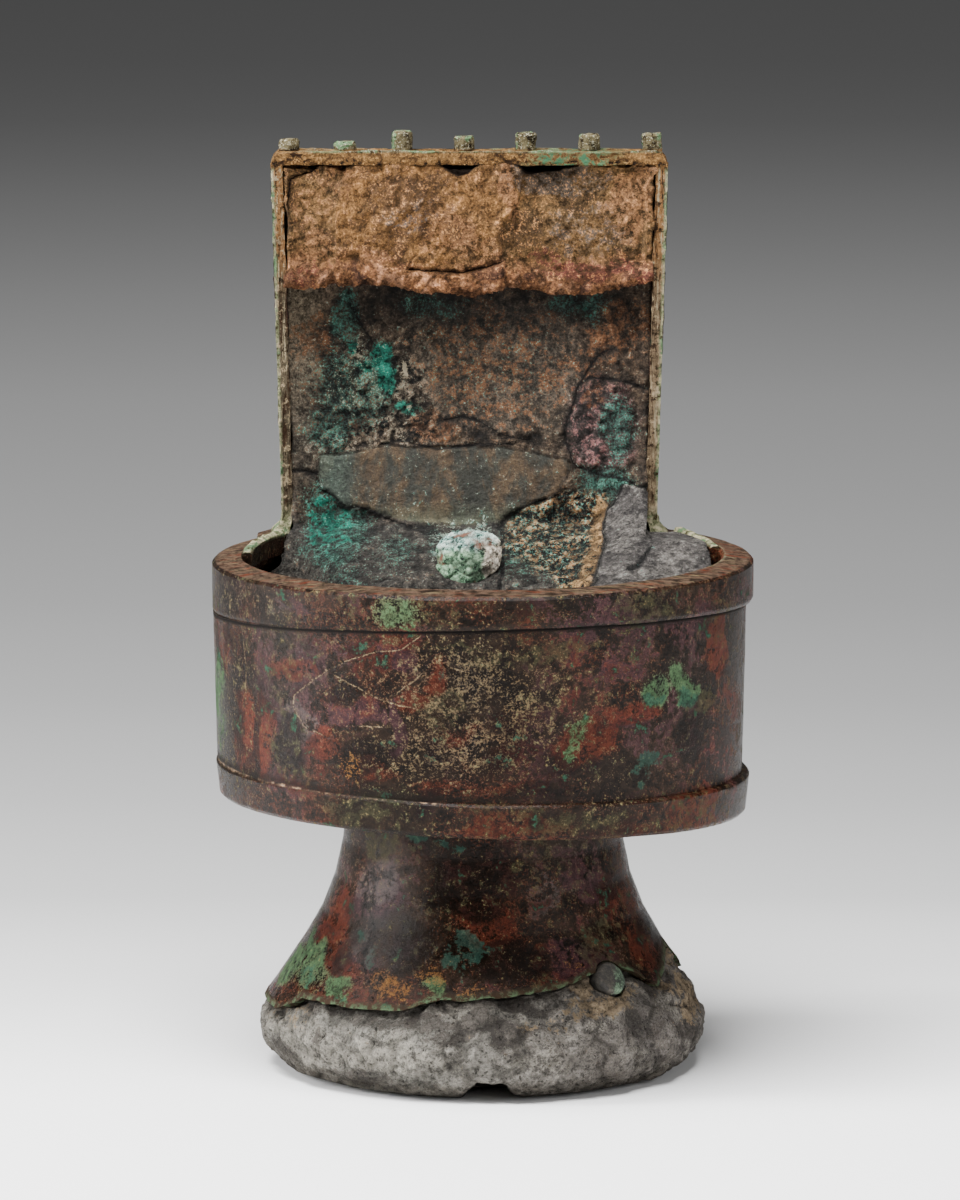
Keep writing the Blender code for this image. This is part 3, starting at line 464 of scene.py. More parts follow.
def work_over_bronze():
    """The casting: finely cut, truly round, with soft dents, blisters and a ragged broken edge."""
    piece = copy_of_node("bronze_body", "bronze_casting")

    def longest(middle):
        radius = math.hypot(middle.x, middle.y)
        inside_cup = middle.z < RIM_HEIGHT - 0.004 and middle.z > FOOT_TOP + 0.006 and radius < 0.0765
        inside_foot = middle.z < FOOT_TOP and radius < foot_radius(middle.z) - 0.0012
        in_panel = middle.z > RIM_HEIGHT + 0.002 and abs(middle.x - PANEL_CENTRE) < 0.052 and middle.y < 0.0485
        if inside_foot or (in_panel and middle.z < 0.266):
            return HIDDEN_EDGE
        if inside_cup:
            return HIDDEN_EDGE / 2
        if middle.y > 0.0:
            return 1.5 * BRONZE_EDGE
        return BRONZE_EDGE

    split_long_edges(piece, longest)
    places, _ = read_points(piece)
    write_points(piece, round_off(places))
    places, normals = read_points(piece)
    azimuth = np.arctan2(places[:, 0], -places[:, 1])
    radius = np.hypot(places[:, 0], places[:, 1])
    height = places[:, 2]
    collar = COLLAR_LOW + COLLAR_RISE[0] * np.sin(azimuth) + COLLAR_RISE[1] * ((1.0 + np.cos(azimuth)) / 2) ** 2
    band = line_height(azimuth, BAND_TOP, BAND_RISE)
    on_foot = height < FOOT_TOP - 0.004
    broken = np.interp(np.degrees(azimuth), *zip(*BREAK_EDGE))
    flat = on_drum(places)
    lines = nearest_line(flat, [rolled_out(line) for line in DRUM_LINES])
    store(piece, "line", np.where(on_foot, 50.0, lines))
    store(piece, "rim_edge", np.hypot(radius - RIM_RADIUS, height - RIM_HEIGHT) / MM)
    store(piece, "band_edge", np.hypot(radius - BAND_RADIUS, height - band) / MM)
    store(piece, "under_collar", (height - collar) / MM)
    store(piece, "over_break", np.where(on_foot, (height - broken) / MM, 50.0))
    store(piece, "up", normals[:, 2])
    store(piece, "ahead", -normals[:, 1])

    frayed = pushed_about(places, 0.008, 0.004, 61)
    blotches = rough_noise(frayed, 0.030, 3, 63)
    store(piece, "red", np.maximum(0.28 + 0.45 * rough_noise(frayed, 0.026, 3, 65), round_spots(frayed, RED_SPOTS)))
    store(piece, "purple", np.maximum(0.34 + 0.4 * rough_noise(frayed, 0.032, 3, 67),
                                      round_spots(frayed, PURPLE_SPOTS)))
    store(piece, "dark", np.maximum(0.36 + 0.45 * blotches, round_spots(frayed, DARK_SPOTS)))
    store(piece, "grey", round_spots(frayed, PALE_AND_SHEEN_SPOTS))
    store(piece, "green", round_spots(frayed, GREEN_SPOTS))
    store(piece, "olive", np.maximum(0.20 + 0.4 * rough_noise(frayed, 0.020, 3, 69), round_spots(frayed, OLIVE_SPOTS)))
    store(piece, "teal", round_spots(frayed, TEAL_SPOTS))
    store(piece, "orange", round_spots(frayed, ORANGE_SPOTS))
    dust = spots(places, [(around(-4.0, 119.0), (0.044, 0.030, 0.024), 0.42)]) * (0.9 + 0.6 * blotches)
    store(piece, "dust", np.where(on_foot, 0.12, np.maximum(dust, 0.13 + 0.35 * blotches)))
    half_width = 0.0563 + 0.0031 * (height - RIM_HEIGHT) / 0.1166
    store(piece, "from_side", (half_width - np.abs(places[:, 0] - PANEL_CENTRE)) / MM)

    upper = ramp(height, RIM_HEIGHT + 0.0012, RIM_HEIGHT + 0.0030)
    shift = 0.22 * MM * rough_noise(places, 0.024, 2, 5) + 0.10 * MM * rough_noise(places, 0.007, 3, 11)
    seam, level = cells(pushed_about(places, 0.012, 0.006, 15), 0.017, 17)
    shift += (1.0 - upper) * 0.10 * MM * (level - 0.5) * ramp(seam, 0.0, 0.06)
    shift -= 0.12 * MM * ramp(np.abs(lines), 0.9, 0.1) * (height > FOOT_TOP)
    shift += upper * (0.50 * MM * rough_noise(places, 0.0050, 3, 41, 0.65) + 0.34 * MM * grains(places, 0.0024, 43))
    near_break = ramp((height - broken) / MM, 5.0, 0.0) * on_foot
    shift += near_break * (0.35 * MM * rough_noise(places, 0.004, 3, 31, 0.6) + 0.2 * MM)
    moved = places + normals * shift[:, None]
    crusty = ramp(height, 0.2672, 0.2684) * ramp(places[:, 1], 0.0410, 0.0370) * (height < 0.2696)
    moved[:, 2] += crusty * MM * (0.5 + 1.1 * rough_noise(places, 0.016, 3, 37, 0.6))
    ragged = ramp((height - broken) / MM, 3.0, 0.0) * on_foot
    moved[:, 2] += ragged * 0.9 * MM * rough_noise(places, 0.0055, 3, 35, 0.65)
    write_points(piece, moved)
    return piece


# Spots on the fill: place across, height, reach across and up in millimetres, strength
FILL_TEAL = ((-39, 199, 13, 13, 0.48), (-40.4, 220, 4, 8, 0.58), (-46, 184, 7, 8, 0.48), (31, 221, 7, 5, 0.58),
             (24, 223, 4, 4, 0.50), (41, 185, 5, 11, 0.54), (-44, 157, 10, 15, 0.56), (-39, 143, 9, 7, 0.52),
             (-26, 149, 9, 6, 0.38), (-12, 153, 6, 3, 0.34), (15, 146, 14, 10, 0.52), (37, 169, 9, 6, 0.60),
             (18, 158, 12, 6, 0.50), (-15, 222, 10, 4, 0.42), (0, 205, 24, 16, 0.12))
FILL_BRIGHT = ((-30.3, 206.8, 3.6, 5, 0.72), (-28.8, 200.5, 3, 6, 0.70), (-22.4, 192.5, 5, 3, 0.60),
               (-40.5, 212, 3, 3, 0.60), (-36, 204, 3, 3, 0.56), (-46, 158, 6, 8, 0.50), (30.5, 219, 3, 3, 0.56))
FILL_RUST = ((6, 204, 26, 20, 0.42), (40, 214, 10, 9, 0.58), (32, 206, 6, 5, 0.52), (-15, 187, 6, 6, 0.56),
             (-42, 196, 12, 14, 0.40), (34, 196, 5, 4, 0.52), (-50, 212, 6, 8, 0.50), (20, 160, 12, 7, 0.52))
FILL_WHITE = ((-23.7, 204.5, 1.4, 1.4, 0.80), (-21.6, 192.8, 1.1, 1.1, 0.75), (-38, 200, 12, 12, 0.26),
              (-37, 142, 8, 8, 0.26), (-52, 196, 6, 26, 0.20), (-38, 210, 4, 4, 0.36))
FILL_RING = ((-8, 151, 7, 6, 0.46), (1, 152, 5, 5, 0.42))


def work_over_fill():
    """The dark fill: a smooth lens, crystals and crumbs beside it, cracks and the grey mass."""
    piece = copy_of_node("core_fill", "panel_core_fill")
    voxel_remesh(piece, FILL_VOXEL)
    places, normals = read_points(piece)
    flat = on_panel(pushed_about(places, 0.007, 0.0012, 119))
    front = ramp(-normals[:, 1], -0.3, 0.3)
    lens = area_distance(flat, LENS)
    centre = area_distance(flat, BROWN_CENTRE)
    crystals = area_distance(flat, CRYSTALS)
    mass = area_distance(flat, MASS)
    crust = area_distance(flat, CRUST)
    cracks = nearest_line(flat, FILL_CRACKS)
    for name, values in (("lens", lens), ("centre", centre), ("crystals", crystals), ("mass", mass),
                         ("crust", crust), ("crack", cracks), ("purple", area_distance(flat, PURPLE)),
                         ("crust_rim", area_distance(flat, CRUST_RIM))):
        store(piece, name, values)
    frayed = pushed_about(places, 0.005, 0.003, 121)
    store(piece, "teal", flat_spots(frayed, FILL_TEAL))
    store(piece, "bright", flat_spots(frayed, FILL_BRIGHT))
    store(piece, "rust", flat_spots(frayed, FILL_RUST))
    store(piece, "white", flat_spots(frayed, FILL_WHITE))
    store(piece, "ring", flat_spots(frayed, FILL_RING))
    store(piece, "shadow", flat_spots(places, ((2, 224, 44, 9, 0.9), (-20, 221, 22, 6, 0.7))))
    smooth = np.maximum.reduce([0.95 * ramp(lens, -1.0, 1.0), 0.60 * ramp(centre, -3.0, 3.0),
                                0.55 * ramp(mass, -1.0, 1.0), 0.55 * ramp(flat[:, 0], -49.0, -55.0)])
    rough = 1.0 - smooth + 0.5 * ramp(crystals, -2.0, 2.0) + 0.5 * ramp(crust, -1.0, 1.0)
    relief = rough * (0.55 * grains(places, 0.0062, 103) + 0.42 * grains(places, 0.0030, 105)
                      + 0.20 * lattice_noise(places, 0.0016, 106))
    relief += 0.10 * rough_noise(places, 0.004, 3, 107, 0.7) + 0.3 * smooth * rough_noise(places, 0.012, 3, 108)
    broad = 0.9 * rough_noise(places, 0.020, 2, 101) * (1.0 - ramp(lens, -1.0, 1.0))
    broad += 0.45 * ramp(lens, -0.8, 0.8) - 1.0 * ramp(centre, -1.0, 6.0) - 0.5 * ramp(crystals, -1.0, 3.0)
    opened = ramp(np.abs(cracks), 0.7, 0.2)
    shift = MM * (relief + broad - 0.5 * opened)
    store(piece, "relief", relief - opened)
    moved = places + normals * (front * shift)[:, None]
    high = front * ramp(places[:, 2], RIM_HEIGHT, RIM_HEIGHT + 0.008)
    write_points(piece, pushed_to_walls(moved, high, 2.2, 131))
    return piece


# Spots on the slab, as on the fill
SLAB_DARK = ((-23.5, 258, 10, 6, 0.66), (-30, 253, 7, 8, 0.56), (10, 244, 9, 8, 0.60), (-44, 262, 8, 3, 0.50),
             (26, 256, 10, 6, 0.52), (-12, 264, 8, 3, 0.56), (-56, 250, 3, 12, 0.50), (54, 262, 4, 5, 0.4))
SLAB_GREY = ((20, 262, 11, 4.5, 0.72), (34, 262, 6, 3, 0.50), (-20, 252, 10, 5, 0.42), (30, 246, 14, 8, 0.45))
SLAB_PINK = ((9, 257, 2.6, 10, 0.75), (-10, 244, 11, 7, 0.60), (44, 252, 8, 11, 0.62), (50, 262, 6, 4, 0.62),
             (-50, 240, 8, 6, 0.62), (-30, 242, 10, 5, 0.55))
SLAB_RED = ((34, 235, 17, 4, 0.62), (20, 238, 8, 3, 0.50), (-52, 232, 8, 5, 0.50), (52, 232, 6, 4, 0.6))


def work_over_slab():
    """The upper slab: chipped clay with a break across it and a lumpy, overhanging lower edge."""
    piece = copy_of_node("upper_core_slab", "upper_clay_slab")
    voxel_remesh(piece, SLAB_VOXEL)
    places, normals = read_points(piece)
    flat = on_panel(pushed_about(places, 0.006, 0.0012, 219))
    frayed = pushed_about(places, 0.007, 0.004, 223)
    blotches = rough_noise(frayed, 0.014, 3, 225)
    store(piece, "dark", np.maximum(0.36 + 0.5 * blotches, flat_spots(frayed, SLAB_DARK)))
    store(piece, "grey", flat_spots(frayed, SLAB_GREY))
    store(piece, "pink", np.maximum(0.34 + 0.4 * rough_noise(frayed, 0.018, 3, 227), flat_spots(frayed, SLAB_PINK)))
    store(piece, "red", flat_spots(frayed, SLAB_RED))
    front = ramp(-normals[:, 1], -0.6, 0.2)
    ridge = side_distance(flat, SLAB_RIDGE)
    lip = area_distance(flat, SLAB_LIP)
    cracks = nearest_line(flat, SLAB_CRACKS)
    gap = np.maximum.reduce([area_distance(flat, outline) for outline in SLAB_GAPS])
    along_top = ramp(flat[:, 1] + 0.8 * lattice_noise(places, 0.006, 221), 264.0, 265.3)
    store(piece, "ridge", ridge)
    store(piece, "lip", lip)
    store(piece, "crack", cracks)
    store(piece, "gap", gap)
    relief = 0.38 * grains(places, 0.0056, 203) + 0.34 * grains(places, 0.0027, 205)
    relief += 0.20 * lattice_noise(places, 0.0013, 206)
    relief += ramp(lip, -1.0, 2.0) * (0.6 * grains(places, 0.0085, 207) + 0.5 * grains(places, 0.0036, 209)
                                           + 0.8 * rough_noise(places, 0.0065, 3, 211, 0.7))
    broad = 0.9 * rough_noise(places, 0.017, 3, 201, 0.6)
    broad -= 1.3 * ramp(ridge, -0.5, 0.5) - 0.5 * ramp(np.abs(ridge + 1.5), 2.5, 0.0)
    broad += 2.0 * ramp(lip, -1.5, 3.5) - 0.4 * ramp(lip, -6.0, -1.0) * ramp(lip, 1.0, -1.0)
    broad += 1.3 * along_top - 1.7 * ramp(gap, -0.4, 1.1)
    opened = ramp(np.abs(cracks), 1.0, 0.2)
    shift = MM * (relief + broad - 1.1 * opened)
    store(piece, "relief", relief - opened - 1.0 * ramp(gap, -0.4, 1.1))
    moved = places + normals * (front * shift)[:, None]
    write_points(piece, pushed_to_walls(moved, front, 3.0, 231))
    return piece


# Spots on the grey clay: azimuth, height, reach across and up, strength
CORE_TAN = ((38, 27.5, 16, 4, 0.66), (31.5, 34.5, 5, 4, 0.85), (79, 22, 4, 8, 0.80), (70, 27, 4, 4, 0.62),
            (88, 34, 4, 6, 0.62), (20, 24, 10, 4, 0.42), (-66, 22, 8, 4, 0.40))
# The last two dark spots, low at the left, are painted shade on the undercut there.
CORE_DARK = ((-41, 25.5, 26, 2.6, 0.62), (-16, 25, 22, 3, 0.62), (2, 22, 22, 3, 0.66), (8, 29, 14, 2.5, 0.62),
             (64, 29, 6, 6, 0.56), (50, 20, 18, 8, 0.52), (66, 15, 5, 4, 0.70), (4, 20, 4, 5, 0.60),
             (-64, 9, 14, 4, 0.60), (-40, 5, 26, 4, 0.60))
CORE_PALE = ((-54, 15, 22, 8, 0.66), (-26, 13, 22, 7, 0.64), (-70, 19, 8, 6, 0.62), (14, 12, 14, 5, 0.50),
             (34, 22, 8, 3, 0.50))


def work_over_foot_core():
    """The grey clay in the foot: gritty, chipped and worn, flat where it stands."""
    piece = copy_of_node("foot_core", "foot_clay_core")
    voxel_remesh(piece, CORE_VOXEL)
    places, normals = read_points(piece)
    azimuth = np.degrees(np.arctan2(places[:, 0], -places[:, 1]))
    broken = np.interp(azimuth, *zip(*BREAK_EDGE))
    below = (broken - places[:, 2]) / MM
    relief = 0.95 * grains(places, 0.0110, 333) + 0.60 * grains(places, 0.0046, 305)
    relief += 0.45 * rough_noise(places, 0.0050, 3, 306, 0.7)
    broad = 1.3 * rough_noise(places, 0.024, 3, 301, 0.6) + 0.5 * rough_noise(places, 0.009, 2, 302)
    broad -= 0.6 * ramp(below, 5.0, 0.0)
    shown = ramp(below, -0.5, 1.0) * ramp(places[:, 2], 0.0, 0.0035)
    frayed = pushed_about(places, 0.009, 0.004, 311)
    blotches = rough_noise(frayed, 0.016, 3, 313)
    store(piece, "relief", relief)
    store(piece, "below", below)
    store(piece, "tan", round_spots(frayed, CORE_TAN, 0.016))
    store(piece, "dark", np.maximum(0.24 + 0.5 * blotches, round_spots(frayed, CORE_DARK, 0.020)))
    store(piece, "pale", np.maximum(0.34 + 0.4 * rough_noise(frayed, 0.012, 3, 315),
                                    round_spots(frayed, CORE_PALE, 0.020)))
    shift = MM * shown * (relief + broad)
    moved = places + normals * shift[:, None]
    notch = ramp(np.abs(azimuth - 1.0), 8.0, 3.5) * ramp(places[:, 2], 0.0080, 0.0015)
    notch *= ramp(np.hypot(places[:, 0], places[:, 1]), 0.040, 0.050)
    moved[:, 2] += notch * MM * (3.0 + 0.9 * rough_noise(places, 0.004, 2, 317))
    write_points(piece, moved)
    return piece


TENON_PLACE = (-0.0042, 0.0130, 0.1483)
TENON_AXIS = (0.0, -0.819, 0.574)


def work_over_tenon():
    """Lump of swollen, crumbling corrosion with a broken face."""
    piece = copy_of_node("tenon", "corroded_tenon")
    voxel_remesh(piece, SMALL_VOXEL)
    places, normals = read_points(piece)
    place = np.array(TENON_PLACE)
    axis = np.array(TENON_AXIS)
    along = (places - place) @ axis
    spread = places - place - along[:, None] * axis
    relief = 0.95 * grains(places, 0.0056, 403) + 0.50 * grains(places, 0.0026, 405)
    broad = 1.9 * rough_noise(places, 0.009, 2, 401)
    store(piece, "relief", relief)
    outside = ramp(along, 0.0010, 0.0045)
    moved = places + normals * (MM * (relief + broad))[:, None] + spread * (0.22 * outside)[:, None]
    write_points(piece, moved)
    return piece


def work_over_plug():
    piece = copy_of_node("foot_plug", "foot_plug_head")
    voxel_remesh(piece, SMALL_VOXEL)
    places, normals = read_points(piece)
    shift = 0.15 * MM * rough_noise(places, 0.004, 3, 411, 0.6)
    write_points(piece, places + normals * shift[:, None])
    return piece


# Materials


class Tree:
    """Short ways to add nodes to one material or group."""

    def __init__(self, tree):
        self.tree = tree

    def add(self, kind, values=None, **settings):
        node = self.tree.nodes.new(kind)
        for name, setting in settings.items():
            setattr(node, name, setting)
        for socket, value in (values or {}).items():
            if isinstance(value, bpy.types.NodeSocket):
                self.tree.links.new(value, node.inputs[socket])
            else:
                node.inputs[socket].default_value = value
        return node

    def noise(self, vector, scale, detail=4.0, roughness=0.6, distortion=0.0):
        values = {"Vector": vector, "Scale": scale, "Detail": detail, "Roughness": roughness,
                  "Distortion": distortion}
        return self.add("ShaderNodeTexNoise", values)

    def range(self, value, low, high, start=0.0, end=1.0):
        values = {"Value": value, "From Min": low, "From Max": high, "To Min": start, "To Max": end}
        return self.add("ShaderNodeMapRange", values).outputs["Result"]

    def math(self, operation, first, second=0.0):
        return self.add("ShaderNodeMath", {0: first, 1: second}, operation=operation).outputs[0]

    def mix(self, share, first, second, blend="MIX"):
        node = self.add("ShaderNodeMix", data_type="RGBA", blend_type=blend)
        for socket, value in ((0, share), (6, first), (7, second)):
            if isinstance(value, bpy.types.NodeSocket):
                self.tree.links.new(value, node.inputs[socket])
            elif socket == 0:
                node.inputs[socket].default_value = value
            else:
                node.inputs[socket].default_value = (*value, 1.0)
        return node.outputs[2]


def tint(red, green, blue, gain=1.0):
    """Colour of a surface that shows in the picture as these values from 0 to 255."""
    return tuple(gain * (value / 255.0) ** 2.2 for value in (red, green, blue))


class Finish(Tree):
    """One material: a base colour that layers are laid over, and a height for its bump."""

    def __init__(self, name):
        self.material = bpy.data.materials.new(name)
        self.material.use_nodes = True
        super().__init__(self.material.node_tree)
        self.shader = self.tree.nodes["Principled BSDF"]
        self.place = self.add("ShaderNodeTexCoord").outputs["Object"]
        self.coarse = self.noise(self.place, 100.0, 6.0, 0.7, 0.3).outputs["Fac"]
        self.crisp = self.noise(self.place, 380.0, 6.0, 0.80, 0.15).outputs["Fac"]
        self.fine = self.noise(self.place, 1500.0, 2.0, 0.8).outputs["Fac"]
        self.grain = self.math("ADD", self.math("MULTIPLY", self.fine, 0.5), self.math("MULTIPLY", self.crisp, 0.5))
        self.colour = None
        self.rough = None

    def stretched(self, scale, detail=5.0, roughness=0.7):
        """Noise with each axis scaled, for streaks."""
        vector = self.add("ShaderNodeVectorMath", {0: self.place, 1: scale}, operation="MULTIPLY").outputs[0]
        return self.noise(vector, 1.0, detail, roughness, 0.4).outputs["Fac"]

    def stored(self, name):
        """Value kept on the piece's vertices."""
        return self.add("ShaderNodeAttribute", attribute_name=name, attribute_type="GEOMETRY").outputs["Fac"]

    def frayed(self, name, reach, noise=None):
        """Stored value, roughened by noise."""
        centred = self.math("SUBTRACT", noise or self.crisp, 0.5)
        return self.math("ADD", self.stored(name), self.math("MULTIPLY", centred, reach))

    def area(self, name, soft, reach=4.0):
        """1 inside a stored outline and 0 outside, with a frayed edge."""
        return self.range(self.frayed(name, reach), -soft, soft)

    def line(self, name, width, reach=1.0):
        """1 on a stored line and 0 off it."""
        return self.range(self.math("ABSOLUTE", self.frayed(name, reach)), width, width / 3)

    def both(self, first, second):
        return self.math("MULTIPLY", first, second)

    def part(self, mask, share):
        return self.math("MULTIPLY", mask, share)

    def layer(self, mask, colour, roughness=None):
        """Lays a colour over what is there, where the mask is 1."""
        self.colour = self.mix(mask, self.colour, colour)
        if roughness is not None:
            self.rough = self.blend_value(mask, self.rough, roughness)

    def blot(self, name, colour, spread=2.5, noise=None, strength=1.0, roughness=None):
        """Lays a colour where a stored weight, roughened by noise, passes a half."""
        mask = self.range(self.frayed(name, spread, noise), 0.46, 0.54, 0.0, strength)
        self.layer(mask, colour, roughness)
        return mask

    def shade(self, mask, factor):
        """Darkens or lightens what is there by a factor, where the mask is 1."""
        self.colour = self.mix(mask, self.colour, (factor, factor, factor), "MULTIPLY")

    def grit_with_painted_shade(self, grain, dark, light, mask=None):
        """Makes the hollows of a fine grain dark and its tops light: grit in the colour, with painted shade in the
        hollows and painted light on the tops.
        """
        low = self.range(grain, 0.49, 0.41)
        high = self.range(grain, 0.52, 0.60)
        if mask is not None:
            low = self.both(low, mask)
            high = self.both(high, mask)
        self.shade(low, dark)
        self.shade(high, light)

    def blend_value(self, share, first, second):
        node = self.add("ShaderNodeMix", {0: share, 2: first, 3: second}, data_type="FLOAT")
        return node.outputs[0]

    def finish(self, height, distance, gain, specular=0.5):
        self.shade(1.0, gain)
        bump = self.add("ShaderNodeBump", {"Height": height, "Distance": distance, "Strength": 1.0})
        self.tree.links.new(bump.outputs["Normal"], self.shader.inputs["Normal"])
        self.tree.links.new(self.colour, self.shader.inputs["Base Color"])
        self.tree.links.new(self.rough, self.shader.inputs["Roughness"])
        self.shader.inputs["Specular IOR Level"].default_value = specular
        return self.material


def tint(red, green, blue, gain=1.0):
    """Colour of a surface that shows in the picture as these values from 0 to 255."""
    return tuple(gain * (value / 255.0) ** 2.2 for value in (red, green, blue))


def bronze_finish():
    """Dark brown patina with purple and red areas, tan dust, pale lines and green spots."""
    make = Finish("bronze patina")
    parts = make.add("ShaderNodeSeparateXYZ", {0: make.place})
    height = parts.outputs["Z"]
    mixed = make.math("ADD", make.part(make.coarse, 0.6), make.part(make.crisp, 0.4))
    make.colour = make.mix(make.range(make.coarse, 0.42, 0.58), tint(40, 33, 28), tint(72, 57, 46))
    make.rough = make.range(mixed, 0.40, 0.60, 0.10, 0.28)
    make.blot("purple", tint(86, 58, 63), 3.6, mixed, 0.7, 0.18)
    # Pale grey spots: pale patina and painted sheen.
    make.blot("grey", tint(104, 96, 92), 3.4, mixed, 0.5)
    make.blot("red", tint(104, 46, 33), 4.2, mixed, 0.62, 0.42)
    make.blot("red", tint(122, 62, 44), 5.0, make.grain, 0.35, 0.42)
    make.blot("dark", tint(30, 25, 22), 3.6, mixed, 0.75)
    make.blot("olive", tint(72, 72, 50), 3.6, make.crisp, 0.6, 0.6)
    dust = make.blot("dust", tint(132, 112, 84, 1.15), 3.6, make.grain, 0.6, 0.75)
    veins = make.add("ShaderNodeTexVoronoi", {"Vector": make.mix(0.012, make.place, make.noise(
        make.place, 160.0, 4.0, 0.6).outputs["Color"]), "Scale": 95.0}, feature="DISTANCE_TO_EDGE")
    veins = make.both(make.range(veins.outputs["Distance"], 0.035, 0.012), make.range(make.stored("dust"), 0.40, 0.65))
    veins = make.both(veins, make.range(make.coarse, 0.46, 0.54))
    drawn = make.both(make.line("line", 0.26, 1.6), make.range(make.coarse, 0.42, 0.50))
    marks = make.math("MAXIMUM", veins, drawn)
    make.layer(make.both(marks, make.range(make.fine, 0.42, 0.52)), tint(176, 152, 118, 1.2), 0.8)
    make.shade(make.both(make.range(make.frayed("line", 3.0), 1.3, 0.1), make.range(make.coarse, 0.45, 0.55)), 0.7)
    make.blot("green", tint(62, 92, 60), 5.0, mixed, 0.65, 0.8)
    make.blot("green", tint(104, 138, 98, 1.1), 4.6, make.grain, 0.40, 0.8)
    make.blot("teal", tint(44, 84, 72), 5.0, mixed, 0.65, 0.75)
    make.blot("orange", tint(150, 104, 56), 3.6, make.grain, 0.6, 0.8)
    # Painted shade in the hollows and painted light on the tops of the fine grain, which also makes the bump.
    make.grit_with_painted_shade(make.crisp, 0.60, 1.28)
    make.grit_with_painted_shade(make.grain, 0.66, 1.40)

    # Dark line just under the collar's lower edge: painted shade under the proud collar, with dirt in the seam.
    collar = make.frayed("under_collar", 1.0)
    make.layer(make.both(make.range(collar, 0.1, -0.3), make.range(collar, -1.6, -0.6)), tint(22, 18, 15), 0.7)
    above_band = make.both(make.range(make.frayed("band_edge", 1.5), 3.0, 1.2), make.range(height, 0.0918, 0.0930))
    make.layer(make.part(above_band, 0.6), tint(34, 28, 24), 0.7)
    # Pale lines along the band's top edge and the rim's edge, on the left and fading out to the right: wear, and
    # painted highlight from the light at the left.
    for name, width, colour in (("band_edge", 0.62, tint(170, 140, 112, 1.5)), ("rim_edge", 0.55, tint(176, 154, 130, 1.3))):
        rubbed_and_lit_edge = make.range(make.frayed(name, 2.4), width, width / 2)
        shown = make.both(make.range(mixed, 0.46, 0.53), make.range(parts.outputs["X"], 0.050, -0.020))
        make.layer(make.both(rubbed_and_lit_edge, shown), colour, 0.5)
    edge = make.range(make.frayed("over_break", 5.0), 1.9, 0.2)
    make.layer(edge, tint(70, 56, 44), 0.8)
    make.layer(make.both(edge, make.range(make.crisp, 0.50, 0.54)), tint(104, 128, 96), 0.85)

    rim_top = make.both(make.range(make.stored("up"), 0.75, 0.92), make.range(height, 0.1500, 0.1515))
    make.layer(rim_top, make.mix(make.range(make.crisp, 0.44, 0.56), tint(54, 44, 37), tint(114, 92, 76)), 0.5)
    streaks = make.stretched((90.0, 420.0, 420.0), 6.0, 0.75)
    make.layer(make.both(rim_top, make.range(streaks, 0.55, 0.62)), tint(112, 52, 34), 0.6)
    make.layer(make.both(rim_top, make.range(streaks, 0.46, 0.40)), tint(38, 30, 25), 0.5)
    pale = make.stretched((50.0, 1000.0, 1000.0))
    make.layer(make.both(rim_top, make.range(pale, 0.59, 0.63)), tint(140, 124, 92, 1.1), 0.8)

    crusted = make.math("MAXIMUM", make.range(make.stored("ahead"), 0.30, 0.60), make.range(height, 0.2660, 0.2680))
    crusted = make.math("MAXIMUM", crusted, make.range(height, 0.1640, 0.1580))
    crusted = make.both(crusted, make.range(height, RIM_HEIGHT + 0.0012, RIM_HEIGHT + 0.0019))
    crusted = make.both(crusted, make.range(parts.outputs["Y"], 0.0560, 0.0500))
    right = make.range(parts.outputs["X"], -0.01, 0.01)
    lower = make.mix(right, tint(94, 84, 68, 1.3), tint(134, 114, 90, 1.3))
    make.layer(crusted, make.mix(make.range(height, 0.226, 0.240), lower, tint(142, 104, 68, 1.5)), 0.9)
    strands = make.stretched((900.0, 900.0, 60.0))
    make.layer(make.both(crusted, make.range(strands, 0.55, 0.60)), tint(176, 160, 130, 1.3), 0.9)
    make.layer(make.both(crusted, make.range(strands, 0.47, 0.41)), tint(72, 54, 40), 0.9)
    make.layer(make.both(crusted, make.range(make.crisp, 0.56, 0.60)), tint(180, 160, 128, 1.3), 0.9)
    make.layer(make.both(crusted, make.range(make.crisp, 0.455, 0.41)), tint(58, 44, 32), 0.9)
    outer = make.both(crusted, make.range(make.frayed("from_side", 4.0), 1.0, 0.4))
    low_crust = make.both(crusted, make.range(height, 0.1640, 0.1570))
    outer = make.math("MAXIMUM", outer, low_crust)
    make.layer(outer, make.mix(make.range(make.crisp, 0.46, 0.56), tint(126, 132, 98, 1.3), tint(196, 186, 152, 1.5)), 0.9)
    make.layer(make.both(outer, make.range(make.coarse, 0.53, 0.57)), tint(106, 134, 98, 1.3), 0.9)
    make.layer(make.both(outer, make.range(make.crisp, 0.44, 0.40)), tint(80, 66, 46), 0.9)
    beam = make.both(make.range(height, 0.2640, 0.2652), make.range(height, 0.2700, 0.2692))
    make.layer(beam, make.mix(make.range(make.crisp, 0.42, 0.56), tint(96, 70, 46), tint(156, 118, 74, 1.3)), 0.9)
    under = make.both(beam, make.range(make.math("ADD", height, make.math("MULTIPLY", make.coarse, 0.006)), 0.2704, 0.2696))
    make.layer(make.both(under, make.range(make.crisp, 0.44, 0.54)), tint(120, 86, 52), 0.9)
    make.layer(make.both(under, make.range(make.crisp, 0.48, 0.42)), tint(34, 26, 20), 0.9)
    make.layer(make.both(beam, make.range(make.grain, 0.53, 0.58)), tint(186, 142, 92, 1.4), 0.9)
    make.layer(make.both(beam, make.range(make.coarse, 0.46, 0.40)), tint(64, 46, 32), 0.9)
    mossy = make.both(beam, make.both(make.range(parts.outputs["X"], 0.010, 0.018), make.range(parts.outputs["X"], 0.044, 0.034)))
    make.layer(make.both(mossy, make.range(make.crisp, 0.48, 0.54)), tint(78, 122, 90, 1.2), 0.9)
    stubs = make.range(height, 0.2690, 0.2698)
